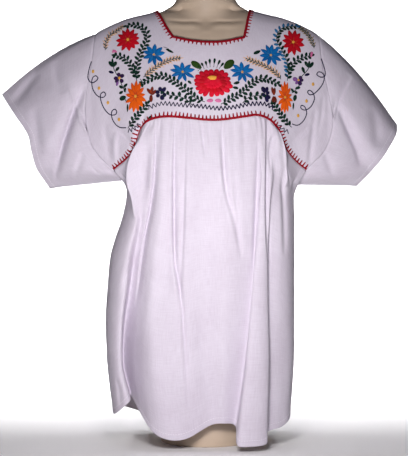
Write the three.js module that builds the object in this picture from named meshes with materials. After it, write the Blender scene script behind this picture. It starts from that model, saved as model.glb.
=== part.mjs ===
// A short-sleeved embroidered cotton blouse worn on a limbless dress form.
// Millimetres, +Z up, the front of the garment faces -Y, and the origin is the centre of the
// form's flat foot. "Left" and "right" are as seen from the front, so left is -X.
//
// The blouse is cut as a yoke with a square neck, two flared sleeves, and a front and a back
// panel gathered on to the yoke. Every piece of cloth is a thin wall: rows of points on its
// outer face, and the same points moved inwards by the wall.
import * as THREE from 'three';

// Driving sizes
const WALL = 1.4;             // cloth wall
const SEAM_GAP = 0.45;        // between two pieces of cloth at a seam
const FORM_GAP = 0.65;        // between the form and the cloth that hangs on its shoulders
const PLINTH_HEIGHT = 60;     // round foot under the form
const PLINTH_RADIUS = 80;
const PLINTH_BEVEL = 5;
const EDGING_WIDTH = 3.6;     // red blanket-stitched cord on the neck and under the yoke
const EDGING_HEIGHT = 1.5;
const EDGING_TOP = { from: 0.2, to: 0.72 };  // its narrower top, in shares of the width
const EDGING_LIFT = 0.6;      // of the cord's underside over the cloth
const SECTION_POWER = 3.2;    // how square the body's horizontal sections are
const FORM_POWER = 2.5;       // the same for the form
const SEAM_EASE = 120;        // height over which the panels leave the line of the yoke seam
const CORNER_EASE = 26;       // the same where the seam ends at the armholes
const TOP_SHARE = 0.95;       // widest share of the half width that a panel's column starts from
const CORNER_FROM = 0.7;      // place on the seam from where the shorter ease sets in
const YOKE_BOW = 45;          // how far the yoke's columns bow out on their way to the seam's ends
const BOW_FROM = 0.3;         // places on the seam between which the columns start to bow
const BOW_FULL = 0.8;
const UNDERARM_POWER = 0.6;   // how full the edge under the arm is, seen from above

// Steps of the grids
const STEPS_PER_FOLD = 3;     // columns between two fold lines of a panel
const ARMHOLE_STEPS = 9;      // columns from the shoulder to the end of the yoke seam
const YOKE_ROWS = 6;
const PANEL_ROWS = 13;
const SLEEVE_ROWS = 8;
const FORM_COLUMNS = 36;
const PLINTH_SIDES = 32;
const PANEL_ROW_POWER = 1.2;  // over 1 the rows stand closer together near the seam
const ARMHOLE_POWER = 2.1;    // the same for the armhole's columns over the round of the shoulder
const NECK_POWER = 1.25;      // and for the neck's columns there

// Height of the shoulder line over the floor, by distance from the middle
const shoulderLine = [
  { out: 0, z: 769 }, { out: 50, z: 769 }, { out: 76, z: 766 }, { out: 88, z: 763 },
  { out: 110, z: 757.5 },
  { out: 137, z: 751 }, { out: 160, z: 742.5 }, { out: 187, z: 729.5 }, { out: 197, z: 723 },
  { out: 212, z: 714 }, { out: 230, z: 700 },
];

// How far the cloth stands in front of and behind the shoulder line, by the drop below it.
// The columns are distances from the middle.
const DEPTH_COLUMNS = [0, 60, 110, 160, 212];
const frontDepth = [
  { drop: 0, at: [0, 0, 0, 0, 0] },
  { drop: 3, at: [20, 20, 20, 18, 16] },
  { drop: 10, at: [36, 36, 34, 30, 26] },
  { drop: 25, at: [52, 52, 48, 41, 35] },
  { drop: 60, at: [73, 72, 64, 53, 44] },
  { drop: 110, at: [92, 90, 79, 64, 51] },
  { drop: 160, at: [106, 104, 92, 71, 54] },
  { drop: 205, at: [115, 113, 101, 74, 53] },
  { drop: 250, at: [120, 118, 105, 67, 47] },
  { drop: 290, at: [122, 120, 104, 58, 38] },
];
const backDepth = [
  { drop: 0, at: [0, 0, 0, 0, 0] },
  { drop: 3, at: [22, 21, 19, 18, 16] },
  { drop: 10, at: [42, 38, 32, 29, 25] },
  { drop: 25, at: [63, 55, 45, 38, 33] },
  { drop: 60, at: [80, 75, 61, 50, 42] },
  { drop: 110, at: [92, 88, 76, 60, 48] },
  { drop: 160, at: [98, 95, 84, 66, 51] },
  { drop: 205, at: [101, 98, 87, 66, 50] },
  { drop: 250, at: [102, 99, 87, 59, 45] },
  { drop: 290, at: [102, 98, 85, 50, 38] },
];

// Neck opening, seen from the front and from the back
const neckFront = {
  left: [{ x: -86, z: 763.5 }, { x: -76, z: 744 }, { x: -65, z: 723 }, { x: -56, z: 709 }],
  across: [
    { x: -56, z: 709 }, { x: -28, z: 703 }, { x: 4, z: 700 }, { x: 34, z: 701.5 }, { x: 64, z: 708 },
  ],
  right: [{ x: 64, z: 708 }, { x: 68, z: 726 }, { x: 72, z: 746 }, { x: 77, z: 765.8 }],
};
const neckBack = {
  left: [{ x: -86, z: 763.5 }, { x: -78, z: 755 }, { x: -68, z: 746 }],
  across: [{ x: -68, z: 746 }, { x: 0, z: 742 }, { x: 62, z: 746 }],
  right: [{ x: 62, z: 746 }, { x: 70, z: 756 }, { x: 77, z: 765.8 }],
};

// Armholes from the shoulder to the end of the yoke seam, and the lowest point under the arm
const armhole = {
  left: [
    { x: -196, z: 723.7 }, { x: -200, z: 671 }, { x: -206, z: 635 }, { x: -211, z: 583 },
    { x: -203, z: 531 }, { x: -184, z: 500 }, { x: -160, z: 479 },
  ],
  right: [
    { x: 199, z: 721.8 }, { x: 203, z: 671 }, { x: 209, z: 635 }, { x: 217, z: 600 },
    { x: 221, z: 557 }, { x: 207, z: 513 }, { x: 174, z: 479 },
  ],
};
const underarm = { left: { x: -141, z: 463 }, right: { x: 159, z: 455 } };

// Seam between the yoke and the body panels
const seamFront = [
  { x: -160, z: 479 }, { x: -126, z: 509 }, { x: -112, z: 547 }, { x: -98, z: 560 },
  { x: -70, z: 566 }, { x: -27, z: 563 }, { x: 3, z: 560 }, { x: 32, z: 561 },
  { x: 66, z: 566 }, { x: 88, z: 569 }, { x: 108, z: 562 }, { x: 122, z: 547 },
  { x: 131, z: 526 }, { x: 141, z: 509 }, { x: 157, z: 492 }, { x: 174, z: 479 },
];
const seamBack = [
  { x: -160, z: 479 }, { x: -130, z: 513 }, { x: -115, z: 547 }, { x: -96, z: 562 },
  { x: 0, z: 566 }, { x: 96, z: 564 }, { x: 118, z: 551 }, { x: 138, z: 515 }, { x: 174, z: 479 },
];
const SEAM_ENDS = { left: -160, right: 174 };

// Horizontal sections of the hanging body: half widths to each side, depths to front and back
const bodySections = [
  { z: 0, left: 159, right: 146, front: 116, back: 111 },
  { z: 56, left: 164, right: 149, front: 117, back: 111 },
  { z: 93, left: 169, right: 152, front: 118, back: 111 },
  { z: 134, left: 174, right: 155, front: 119, back: 110 },
  { z: 170, left: 176, right: 156, front: 120, back: 110 },
  { z: 221, left: 177, right: 156, front: 121, back: 109 },
  { z: 257, left: 175, right: 156, front: 122, back: 108 },
  { z: 326, left: 169, right: 156, front: 123, back: 107 },
  { z: 357, left: 161, right: 156, front: 124, back: 106 },
  { z: 392, left: 149, right: 156, front: 126, back: 105 },
  { z: 428, left: 141, right: 155, front: 127, back: 104 },
  { z: 466, left: 139, right: 156, front: 127, back: 102 },
  { z: 505, left: 134, right: 148, front: 125, back: 102 },
  { z: 570, left: 125, right: 134, front: 116, back: 100 },
];

// Fold lines of the panels, from the left side seam to the right one. "seam" is the place on the
// panel's top edge: -1 to 1 is the yoke seam from end to end, and beyond that the edge under the
// arm, to -2 and 2 at the side seams. The other places are shares of the half width at knee, low
// and hem height, "out" is how far the cloth stands in front of its plain section there, and
// "hemZ" is where the hem ends.
const KNEE_Z = 340;
const LOW_Z = 150;
const frontFolds = [
  { seam: -2, knee: -1, low: -1, hem: -1, kneeOut: 0, lowOut: 0, hemOut: 0, hemZ: 58 },
  { seam: -1, knee: -0.95, low: -0.945, hem: -0.94, kneeOut: 6, lowOut: 10, hemOut: 10, hemZ: 60 },
  { seam: -0.74, knee: -0.82, low: -0.8, hem: -0.775, kneeOut: 13, lowOut: 18, hemOut: 14, hemZ: 76 },
  { seam: -0.64, knee: -0.66, low: -0.72, hem: -0.735, kneeOut: -12, lowOut: -22, hemOut: -24, hemZ: 74 },
  { seam: -0.54, knee: -0.54, low: -0.575, hem: -0.6, kneeOut: -5, lowOut: -9, hemOut: -10, hemZ: 47 },
  { seam: -0.44, knee: -0.42, low: -0.43, hem: -0.47, kneeOut: 4, lowOut: 7, hemOut: 9, hemZ: 24 },
  { seam: -0.34, knee: -0.31, low: -0.29, hem: -0.31, kneeOut: -3, lowOut: 2, hemOut: 6, hemZ: 20 },
  { seam: -0.23, knee: -0.18, low: -0.16, hem: -0.16, kneeOut: 3, lowOut: 4, hemOut: 4, hemZ: 22 },
  { seam: -0.06, knee: -0.01, low: 0.02, hem: 0.04, kneeOut: -3, lowOut: -6, hemOut: -9, hemZ: 42 },
  { seam: 0.16, knee: 0.22, low: 0.2, hem: 0.2, kneeOut: 4, lowOut: -2, hemOut: -6, hemZ: 46 },
  { seam: 0.46, knee: 0.525, low: 0.415, hem: 0.345, kneeOut: -5, lowOut: -11, hemOut: -13, hemZ: 40 },
  { seam: 0.51, knee: 0.56, low: 0.46, hem: 0.385, kneeOut: 5, lowOut: 14, hemOut: 21, hemZ: 14 },
  { seam: 0.55, knee: 0.61, low: 0.55, hem: 0.5, kneeOut: 9, lowOut: 19, hemOut: 26, hemZ: 11 },
  { seam: 0.59, knee: 0.655, low: 0.65, hem: 0.665, kneeOut: 5, lowOut: 13, hemOut: 20, hemZ: 14 },
  { seam: 0.64, knee: 0.7, low: 0.705, hem: 0.73, kneeOut: -6, lowOut: -11, hemOut: -12, hemZ: 29 },
  { seam: 0.74, knee: 0.83, low: 0.845, hem: 0.87, kneeOut: 7, lowOut: 8, hemOut: 7, hemZ: 36 },
  { seam: 1, knee: 0.95, low: 0.955, hem: 0.96, kneeOut: 6, lowOut: 5, hemOut: 5, hemZ: 45 },
  { seam: 2, knee: 1, low: 1, hem: 1, kneeOut: 0, lowOut: 0, hemOut: 0, hemZ: 52 },
];
const backFolds = [
  { seam: -2, knee: -1, low: -1, hem: -1, kneeOut: 0, lowOut: 0, hemOut: 0, hemZ: 58 },
  { seam: -1, knee: -0.94, low: -0.94, hem: -0.94, kneeOut: 5, lowOut: 6, hemOut: 6, hemZ: 52 },
  { seam: -0.7, knee: -0.78, low: -0.76, hem: -0.76, kneeOut: -6, lowOut: -10, hemOut: -12, hemZ: 42 },
  { seam: -0.5, knee: -0.56, low: -0.56, hem: -0.57, kneeOut: 6, lowOut: 13, hemOut: 17, hemZ: 26 },
  { seam: -0.34, knee: -0.37, low: -0.38, hem: -0.38, kneeOut: -4, lowOut: -8, hemOut: -9, hemZ: 34 },
  { seam: -0.16, knee: -0.17, low: -0.16, hem: -0.17, kneeOut: 5, lowOut: 9, hemOut: 12, hemZ: 24 },
  { seam: 0.02, knee: 0.01, low: 0.02, hem: 0.02, kneeOut: -4, lowOut: -7, hemOut: -8, hemZ: 33 },
  { seam: 0.2, knee: 0.22, low: 0.22, hem: 0.23, kneeOut: 6, lowOut: 12, hemOut: 16, hemZ: 22 },
  { seam: 0.36, knee: 0.42, low: 0.43, hem: 0.43, kneeOut: -5, lowOut: -9, hemOut: -11, hemZ: 34 },
  { seam: 0.54, knee: 0.62, low: 0.62, hem: 0.63, kneeOut: 6, lowOut: 12, hemOut: 14, hemZ: 28 },
  { seam: 0.74, knee: 0.82, low: 0.81, hem: 0.81, kneeOut: -4, lowOut: -7, hemOut: -8, hemZ: 42 },
  { seam: 1, knee: 0.95, low: 0.95, hem: 0.95, kneeOut: 4, lowOut: 5, hemOut: 5, hemZ: 48 },
  { seam: 2, knee: 1, low: 1, hem: 1, kneeOut: 0, lowOut: 0, hemOut: 0, hemZ: 52 },
];

// Small gathers that start at the yoke seam and die out below it: place on the seam in shares of
// its half length, sideways drift over the reach, and depth of the crease
const GATHER_WIDTH = 5;
const GATHER_GROWTH = 18;     // below the seam, where a gather reaches its full depth
const gathers = {
  front: [
    { seam: -0.59, drift: -6, reach: 150, depth: 4 },
    { seam: -0.49, drift: -3, reach: 90, depth: 3.5 },
    { seam: -0.39, drift: 2, reach: 110, depth: 3 },
    { seam: -0.28, drift: 3, reach: 170, depth: 4 },
    { seam: -0.15, drift: 2, reach: 80, depth: 3 },
    { seam: 0.03, drift: 4, reach: 120, depth: 3 },
    { seam: 0.12, drift: 20, reach: 240, depth: 4 },
    { seam: 0.26, drift: 4, reach: 100, depth: 3 },
    { seam: 0.36, drift: 4, reach: 130, depth: 3.5 },
    { seam: 0.69, drift: 4, reach: 120, depth: 4 },
  ],
  back: [-0.6, -0.42, -0.25, -0.07, 0.11, 0.28, 0.45, 0.64]
    .map((seam, i) => ({ seam, drift: i < 4 ? -4 : 4, reach: i % 2 ? 90 : 150, depth: 3.5 })),
};

// Cuff edges from the top fold to the bottom one; y is how far the cuff stands open
const cuff = {
  left: [
    { x: -363, z: 615, front: 0, back: 0 }, { x: -340, z: 582, front: 26, back: 24 },
    { x: -313, z: 543, front: 38, back: 35 }, { x: -306, z: 514, front: 40, back: 36 },
    { x: -297, z: 481, front: 30, back: 28 }, { x: -278, z: 449, front: 0, back: 0 },
  ],
  right: [
    { x: 340, z: 561, front: 0, back: 0 }, { x: 335, z: 543, front: 24, back: 22 },
    { x: 321, z: 519, front: 38, back: 34 }, { x: 306, z: 497, front: 42, back: 36 },
    { x: 289, z: 476, front: 30, back: 28 }, { x: 268, z: 453, front: 0, back: 0 },
  ],
};
const sleeveShape = {
  left: { topBulge: 13, sideBulge: 7 },
  right: { topBulge: 14, sideBulge: 7 },
};
// Folds of the sleeves: shares of the way down the armhole and down the cuff, and the depth
const SLEEVE_FOLD_WIDTH = 0.09;
const SLEEVE_FOLD_FADE = 0.4; // share of its depth that a fold loses on its way to the cuff
const TOP_BULGE_REACH = 1 / 3;  // share of the way round from the top fold
const sleeveFolds = {
  left: {
    front: [{ from: 0.34, to: 0.88, depth: 9 }, { from: 0.12, to: 0.16, depth: 4 }],
    back: [{ from: 0.36, to: 0.7, depth: 8 }],
  },
  right: {
    front: [{ from: 0.42, to: 0.72, depth: 9 }, { from: 0.7, to: 0.3, depth: 4 }],
    back: [{ from: 0.36, to: 0.66, depth: 8 }],
  },
};

// Horizontal sections of the form below the armholes, and of its neck
const formTorso = [
  { z: 60.3, half: 92, front: 66, back: 66 }, { z: 66, half: 100, front: 72, back: 72 },
  { z: 84, half: 119, front: 83, back: 82 }, { z: 112, half: 135, front: 92, back: 92 },
  { z: 150, half: 141, front: 96, back: 98 }, { z: 200, half: 139, front: 95, back: 98 },
  { z: 250, half: 130, front: 91, back: 92 }, { z: 300, half: 118, front: 87, back: 84 },
  { z: 345, half: 112, front: 85, back: 78 }, { z: 400, half: 118, front: 93, back: 80 },
  { z: 450, half: 127, front: 106, back: 86 }, { z: 505, half: 132, front: 114, back: 91 },
  { z: 560, half: 137, front: 108, back: 93 }, { z: 600, half: 149, front: 99, back: 91 },
];
const formShoulders = [
  { z: 640, half: 167 }, { z: 670, half: 178 }, { z: 695, half: 185 }, { z: 710, half: 187 },
  { z: 720, half: 186 }, { z: 726, half: 182.5 },
];
const SHOULDER_LEVELS = [732, 739, 746, 753, 758];
const formNeck = [
  { z: 762, half: 80 }, { z: 766, half: 72 }, { z: 773, half: 60.5 }, { z: 784, half: 53 },
  { z: 800, half: 50 }, { z: 819, half: 50 }, { z: 824, half: 46 },
];
const NECK = { half: 51, front: 46, back: 54, from: 700, full: 762 };
const NECK_ROOT = { share: 0.7, height: 14 };  // depth where the neck leaves the shoulders
const NECK_RIM = { z: 822, share: 0.92 };      // the rounded rim of its flat top
// The chest keeps to a share of the cloth's depth, and close under the shoulder line it also
// takes a share of the drop
const CHEST = { share: 0.94, dropShare: 0.8, from: 5, full: 60 };
const CHEST_BLEND = { from: 560, full: 630 };  // heights between the torso's sections and the chest
const CHEST_POWER = 6;        // how square the chest ends under the shoulder line

// A smooth curve through knots [t, value] with rising t, held level outside them
function through(knots) {
  const last = knots.length - 1;
  const slopes = knots.map((_, i) => {
    const [t0, v0] = knots[Math.max(0, i - 1)];
    const [t1, v1] = knots[Math.min(last, i + 1)];
    return (v1 - v0) / (t1 - t0);
  });
  return (t) => {
    if (t <= knots[0][0]) return knots[0][1];
    if (t >= knots[last][0]) return knots[last][1];
    const i = knots.findIndex(([end]) => end > t) - 1;
    const [t0, v0] = knots[i];
    const [t1, v1] = knots[i + 1];
    const width = t1 - t0;
    const s = (t - t0) / width;
    const a = 2 * s ** 3 - 3 * s ** 2 + 1;
    const b = s ** 3 - 2 * s ** 2 + s;
    const c = s ** 3 - s ** 2;
    return a * v0 + b * width * slopes[i] + (1 - a) * v1 + c * width * slopes[i + 1];
  };
}

const lerp = THREE.MathUtils.lerp;
const clamp = THREE.MathUtils.clamp;
const smoothstep = THREE.MathUtils.smoothstep;
const column = (rows, key, value) => through(rows.map((row) => [row[key], row[value]]));

const shoulderZ = column(shoulderLine, 'out', 'z');

// Depth of the cloth at a distance from the middle and a drop below the shoulder line
function depthSurface(rows) {
  const byDrop = DEPTH_COLUMNS.map((_, i) => through(rows.map((row) => [row.drop, row.at[i]])));
  return (out, drop) => through(DEPTH_COLUMNS.map((at, i) => [at, byDrop[i](drop)]))(out);
}
const clothDepth = { front: depthSurface(frontDepth), back: depthSurface(backDepth) };
const TOWARDS = { front: -1, back: 1 };

// The point of the upper garment's front or back face that is seen at x and drop
function clothPoint(face, x, drop) {
  const out = Math.abs(x);
  return new THREE.Vector3(x, TOWARDS[face] * clothDepth[face](out, drop), shoulderZ(out) - drop);
}

// A spline in (x, drop) through rows of x and z, read at a share of its length
function dropCurve(rows) {
  const points = rows.map(({ x, z }) => new THREE.Vector2(x, Math.max(0, shoulderZ(Math.abs(x)) - z)));
  const curve = new THREE.SplineCurve(points);
  return (share) => curve.getPointAt(clamp(share, 0, 1));
}

// The yoke seam by place, -1 to 1, as (x, drop)
function seamCurve(rows) {
  const height = column(rows, 'x', 'z');
  return (place) => {
    const x = place < 0 ? -place * SEAM_ENDS.left : place * SEAM_ENDS.right;
    return new THREE.Vector2(x, shoulderZ(Math.abs(x)) - height(x));
  };
}
const seam = { front: seamCurve(seamFront), back: seamCurve(seamBack) };

// The edge under the arm, from the end of the yoke seam (0) to the side seam (1)
function underarmPoint(side, face, share) {
  const end = seam[face](side === 'left' ? -1 : 1);
  const start = clothPoint(face, end.x, end.y);
  const low = underarm[side];
  const turn = (share * Math.PI) / 2;
  return new THREE.Vector3(
    lerp(start.x, low.x, Math.sin(turn)),
    start.y * Math.cos(turn) ** UNDERARM_POWER,
    lerp(start.z, low.z, Math.sin(turn)),
  );
}

// Top edge of a body panel by place, -2 to 2
function panelTop(face, place) {
  const past = Math.abs(place) - 1;
  if (past > 0) return underarmPoint(place < 0 ? 'left' : 'right', face, past);
  const { x, y } = seam[face](place);
  return clothPoint(face, x, y);
}

// Places of the panel's columns: STEPS_PER_FOLD from each fold line to the next
function columnsOf(folds) {
  const columns = [];
  for (let i = 0; i + 1 < folds.length; i++) {
    for (let k = 0; k < STEPS_PER_FOLD; k++) columns.push(i + k / STEPS_PER_FOLD);
  }
  return [...columns, folds.length - 1];
}

const folds = { front: frontFolds, back: backFolds };
const foldCurve = (face, key) => through(folds[face].map((fold, i) => [i, fold[key]]));

// A body panel: rows from its top edge to the hem, columns from the left side seam to the right
function panelRows(face) {
  const section = Object.fromEntries(
    ['left', 'right', 'front', 'back'].map((key) => [key, column(bodySections, 'z', key)]),
  );
  const at = Object.fromEntries(
    ['knee', 'low', 'hem', 'kneeOut', 'lowOut', 'hemOut', 'hemZ']
      .map((key) => [key, foldCurve(face, key)]),
  );
  const places = columnsOf(folds[face]).map((c) => [c, seamPlace(face, c)]);

  const strips = places.map(([c, place]) => {
    const top = panelTop(face, place);
    const half = (z) => (top.x < 0 ? section.left(z) : section.right(z));
    const bodyPoint = (across, z, out) => {
      const width = across < 0 ? section.left(z) : section.right(z);
      const round = Math.max(0, 1 - Math.abs(across) ** SECTION_POWER) ** (1 / SECTION_POWER);
      return new THREE.Vector3(across * width, TOWARDS[face] * (section[face](z) * round + out), z);
    };
    const topAcross = Math.abs(place) > 1
      ? at.knee(c)
      : clamp(top.x / half(top.z), -TOP_SHARE, TOP_SHARE);
    const hemZ = at.hemZ(c);
    const across = through([
      [hemZ, at.hem(c)], [LOW_Z, at.low(c)], [KNEE_Z, at.knee(c)], [top.z, topAcross],
    ]);
    const out = through([
      [hemZ, at.hemOut(c)], [LOW_Z, at.lowOut(c)], [KNEE_Z, at.kneeOut(c)], [top.z, 0],
    ]);
    const corner = smoothstep(Math.abs(place), CORNER_FROM, 1);
    const easeHeight = lerp(SEAM_EASE, CORNER_EASE, corner);
    const offset = top.clone().sub(bodyPoint(topAcross, top.z, 0));
    return Array.from({ length: PANEL_ROWS + 1 }, (_, r) => {
      const share = (r / PANEL_ROWS) ** PANEL_ROW_POWER;
      const z = lerp(top.z, hemZ, share);
      const ease = 1 - smoothstep(top.z - z, 0, easeHeight);
      const point = bodyPoint(across(z), z, out(z)).addScaledVector(offset, ease);
      point.y -= TOWARDS[face] * gatherDepth(face, point.x, top.z - z);
      return point;
    });
  });
  return Array.from({ length: PANEL_ROWS + 1 }, (_, r) => strips.map((strip) => strip[r]));
}

const seamPlace = (face, c) => {
  const i = Math.min(Math.floor(c), folds[face].length - 2);
  return lerp(folds[face][i].seam, folds[face][i + 1].seam, c - i);
};

// How deep the small gathers press in at a point below the seam
function gatherDepth(face, x, below) {
  return gathers[face].reduce((sum, { seam: place, drift, reach, depth }) => {
    if (below <= 0 || below >= reach) return sum;
    const centre = seam[face](place).x + (drift * below) / reach;
    const near = Math.exp(-(((x - centre) / GATHER_WIDTH) ** 2));
    const grow = Math.min(1, below / GATHER_GROWTH) * (1 - below / reach);
    return sum + depth * near * grow;
  }, 0);
}

// Shares of the way down the armhole, closer together over the round of the shoulder
const sharesDown = (power) => Array.from(
  { length: ARMHOLE_STEPS + 1 },
  (_, i) => (i / ARMHOLE_STEPS) ** power,
);
const armholeShares = sharesDown(ARMHOLE_POWER);
const neckShares = sharesDown(NECK_POWER);

// One face of the yoke: pairs of (x, drop) on the neck and on the outer edge, from the left
// shoulder to the right one
function yokeLines(face) {
  const neck = face === 'front' ? neckFront : neckBack;
  const curves = Object.fromEntries(
    ['left', 'across', 'right'].map((part) => [part, dropCurve(neck[part])]),
  );
  const outer = { left: dropCurve(armhole.left), right: dropCurve(armhole.right) };
  const left = armholeShares.map((share, i) => [curves.left(neckShares[i]), outer.left(share), -share]);
  const right = armholeShares
    .map((share, i) => [curves.right(1 - neckShares[i]), outer.right(share), share])
    .reverse();
  const places = columnsOf(folds[face])
    .map((c) => seamPlace(face, c))
    .filter((place) => Math.abs(place) < 1);
  const across = places.map((place) => [
    curves.across((place + 1) / 2),
    seam[face](place),
    Math.sign(place) * smoothstep(Math.abs(place), BOW_FROM, BOW_FULL),
  ]);
  return [...left, ...across, ...right];
}

// The yoke: rows from the neck outwards, columns round it, starting at the left shoulder
function yokeRows() {
  const front = yokeLines('front').map((line) => ['front', line]);
  const back = yokeLines('back').map((line) => ['back', line]).reverse();
  const lines = [...front, ...back.slice(1, -1)];
  return Array.from({ length: YOKE_ROWS + 1 }, (_, r) => lines.map(([face, [inner, outer, bow]]) => {
    const share = r / YOKE_ROWS;
    const x = lerp(inner.x, outer.x, share) + 2 * share * (1 - share) * bow * YOKE_BOW;
    return clothPoint(face, x, lerp(inner.y, outer.y, share));
  }));
}

// One half of a sleeve's first ring and cuff, from the top fold to the bottom one
function sleeveHalf(side, face) {
  const outer = dropCurve(armhole[side]);
  const last = folds[face].length - 1;
  const ends = side === 'left' ? [1, 0] : [last - 1, last];
  const under = Array.from({ length: STEPS_PER_FOLD }, (_, k) => {
    const place = seamPlace(face, lerp(ends[0], ends[1], (k + 1) / STEPS_PER_FOLD));
    return panelTop(face, place);
  });
  const ring = [
    ...armholeShares.map(outer).map(({ x, y }) => clothPoint(face, x, y)),
    ...under,
  ];
  const edge = new THREE.CatmullRomCurve3(
    cuff[side].map((row) => new THREE.Vector3(row.x, TOWARDS[face] * row[face], row.z)),
    false,
    'centripetal',
  );
  const lengths = ring.map((point, i) => (i ? point.distanceTo(ring[i - 1]) : 0));
  const total = lengths.reduce((a, b) => a + b);
  let run = 0;
  return ring.map((point, i) => {
    run += lengths[i];
    const down = run / total;
    return { point, down, edge: edge.getPointAt(clamp(down, 0, 1)) };
  });
}

// A sleeve: rows from the armhole to the cuff, columns round it from the top fold
function sleeveRows(side) {
  const order = side === 'left' ? ['front', 'back'] : ['back', 'front'];
  const [first, second] = order.map((face) => sleeveHalf(side, face).map((half) => ({ ...half, face })));
  const columns = [...first, ...second.slice(1, -1).reverse()];
  const { topBulge, sideBulge } = sleeveShape[side];
  return Array.from({ length: SLEEVE_ROWS + 1 }, (_, r) => {
    const share = r / SLEEVE_ROWS;
    const swell = 4 * share * (1 - share);
    const grown = Math.sin((Math.PI / 2) * Math.min(1, 2 * share)) * (1 - SLEEVE_FOLD_FADE * share);
    return columns.map(({ point, edge, down, face }) => {
      const p = point.clone().lerp(edge, share);
      p.z += topBulge * swell * Math.max(0, 1 - down / TOP_BULGE_REACH) ** 2;
      const fold = sleeveFolds[side][face].reduce((sum, { from, to, depth }) => {
        const off = (down - lerp(from, to, share)) / SLEEVE_FOLD_WIDTH;
        return sum + depth * Math.exp(-off * off) * grown;
      }, 0);
      p.y += TOWARDS[face] * (sideBulge * swell * Math.sin(Math.PI * down) - fold);
      return p;
    });
  });
}

// Outward direction at each point of a grid; "closed" grids meet themselves round the columns
function gridNormals(rows, closed) {
  const count = rows[0].length;
  const wrap = (c) => (closed ? (c + count) % count : clamp(c, 0, count - 1));
  return rows.map((row, r) => row.map((_, c) => {
    const down = rows[Math.min(r + 1, rows.length - 1)][c].clone().sub(rows[Math.max(r - 1, 0)][c]);
    const along = row[wrap(c + 1)].clone().sub(row[wrap(c - 1)]);
    return down.cross(along).normalize();
  }));
}

// Seams: pieces that meet share one outward direction at each seam point
const keyOf = (p) => [p.x, p.y, p.z].map((v) => Math.round(v * 50)).join(' ');
const shared = new Map();

function cloth(rows, closed) {
  const normals = gridNormals(rows, closed);
  rows.forEach((row, r) => row.forEach((point, c) => {
    const rim = r === 0 || r === rows.length - 1 || (!closed && (c === 0 || c === row.length - 1));
    if (!rim) return;
    const key = keyOf(point);
    const entry = shared.get(key) ?? { sum: new THREE.Vector3(), pieces: 0 };
    entry.sum.add(normals[r][c]);
    entry.pieces += 1;
    shared.set(key, entry);
  }));
  return { rows, closed, normals };
}

// Points of a piece with its seam edges drawn back by half the gap, and their directions
function settle({ rows, closed, normals }) {
  const lastRow = rows.length - 1;
  const lastColumn = rows[0].length - 1;
  return rows.map((row, r) => row.map((point, c) => {
    const entry = shared.get(keyOf(point));
    const sewn = entry && entry.pieces > 1;
    const normal = (sewn ? entry.sum : normals[r][c]).clone().normalize();
    if (!sewn) return { point, normal };
    const inner = rows[clamp(r, 1, lastRow - 1)][closed ? c : clamp(c, 1, lastColumn - 1)];
    const back = inner.clone().sub(point).projectOnPlane(normal).setLength(SEAM_GAP / 2);
    return { point: point.clone().add(back), normal };
  }));
}

// Closed solid between two layers of points, each a grid of the same size. Every cell is split
// along its shorter diagonal, alike in both layers.
function layersSolid(outer, inner, closed) {
  const rowCount = outer.length;
  const columnCount = outer[0].length;
  const positions = [...outer.flat(), ...inner.flat()].flatMap(({ x, y, z }) => [x, y, z]);
  const faces = [];
  const quad = (a, b, c, d) => faces.push(a, b, c, a, c, d);
  // A rim is split from its higher outer corner, so that two rims at a seam are split alike
  const heightOf = (i) => positions[3 * i + 2];
  const rim = (outA, outB, inB, inA) => {
    if (heightOf(outA) >= heightOf(outB)) quad(outA, outB, inB, inA);
    else quad(outB, inB, inA, outA);
  };
  const out = (r, c) => r * columnCount + (c % columnCount);
  const inn = (r, c) => rowCount * columnCount + out(r, c);
  const steps = closed ? columnCount : columnCount - 1;
  for (let c = 0; c < steps; c++) {
    for (let r = 0; r + 1 < rowCount; r++) {
      const next = (c + 1) % columnCount;
      const falling = outer[r][c].distanceTo(outer[r + 1][next]);
      const rising = outer[r + 1][c].distanceTo(outer[r][next]);
      if (falling <= rising) {
        quad(out(r, c), out(r + 1, c), out(r + 1, c + 1), out(r, c + 1));
        quad(inn(r, c), inn(r, c + 1), inn(r + 1, c + 1), inn(r + 1, c));
      } else {
        quad(out(r + 1, c), out(r + 1, c + 1), out(r, c + 1), out(r, c));
        quad(inn(r + 1, c), inn(r, c), inn(r, c + 1), inn(r + 1, c + 1));
      }
    }
    const low = rowCount - 1;
    rim(out(0, c), out(0, c + 1), inn(0, c + 1), inn(0, c));
    rim(out(low, c + 1), out(low, c), inn(low, c), inn(low, c + 1));
  }
  if (!closed) {
    const right = columnCount - 1;
    for (let r = 0; r + 1 < rowCount; r++) {
      rim(out(r + 1, 0), out(r, 0), inn(r, 0), inn(r + 1, 0));
      rim(out(r, right), out(r + 1, right), inn(r + 1, right), inn(r, right));
    }
  }
  return new THREE.BufferGeometry()
    .setAttribute('position', new THREE.Float32BufferAttribute(positions, 3))
    .setIndex(faces);
}

function clothGeometry(piece) {
  const settled = settle(piece);
  const outer = settled.map((row) => row.map(({ point }) => point));
  const inner = settled.map((row) => row.map(
    ({ point, normal }) => point.clone().addScaledVector(normal, -WALL),
  ));
  return layersSolid(outer, inner, piece.closed);
}

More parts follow.
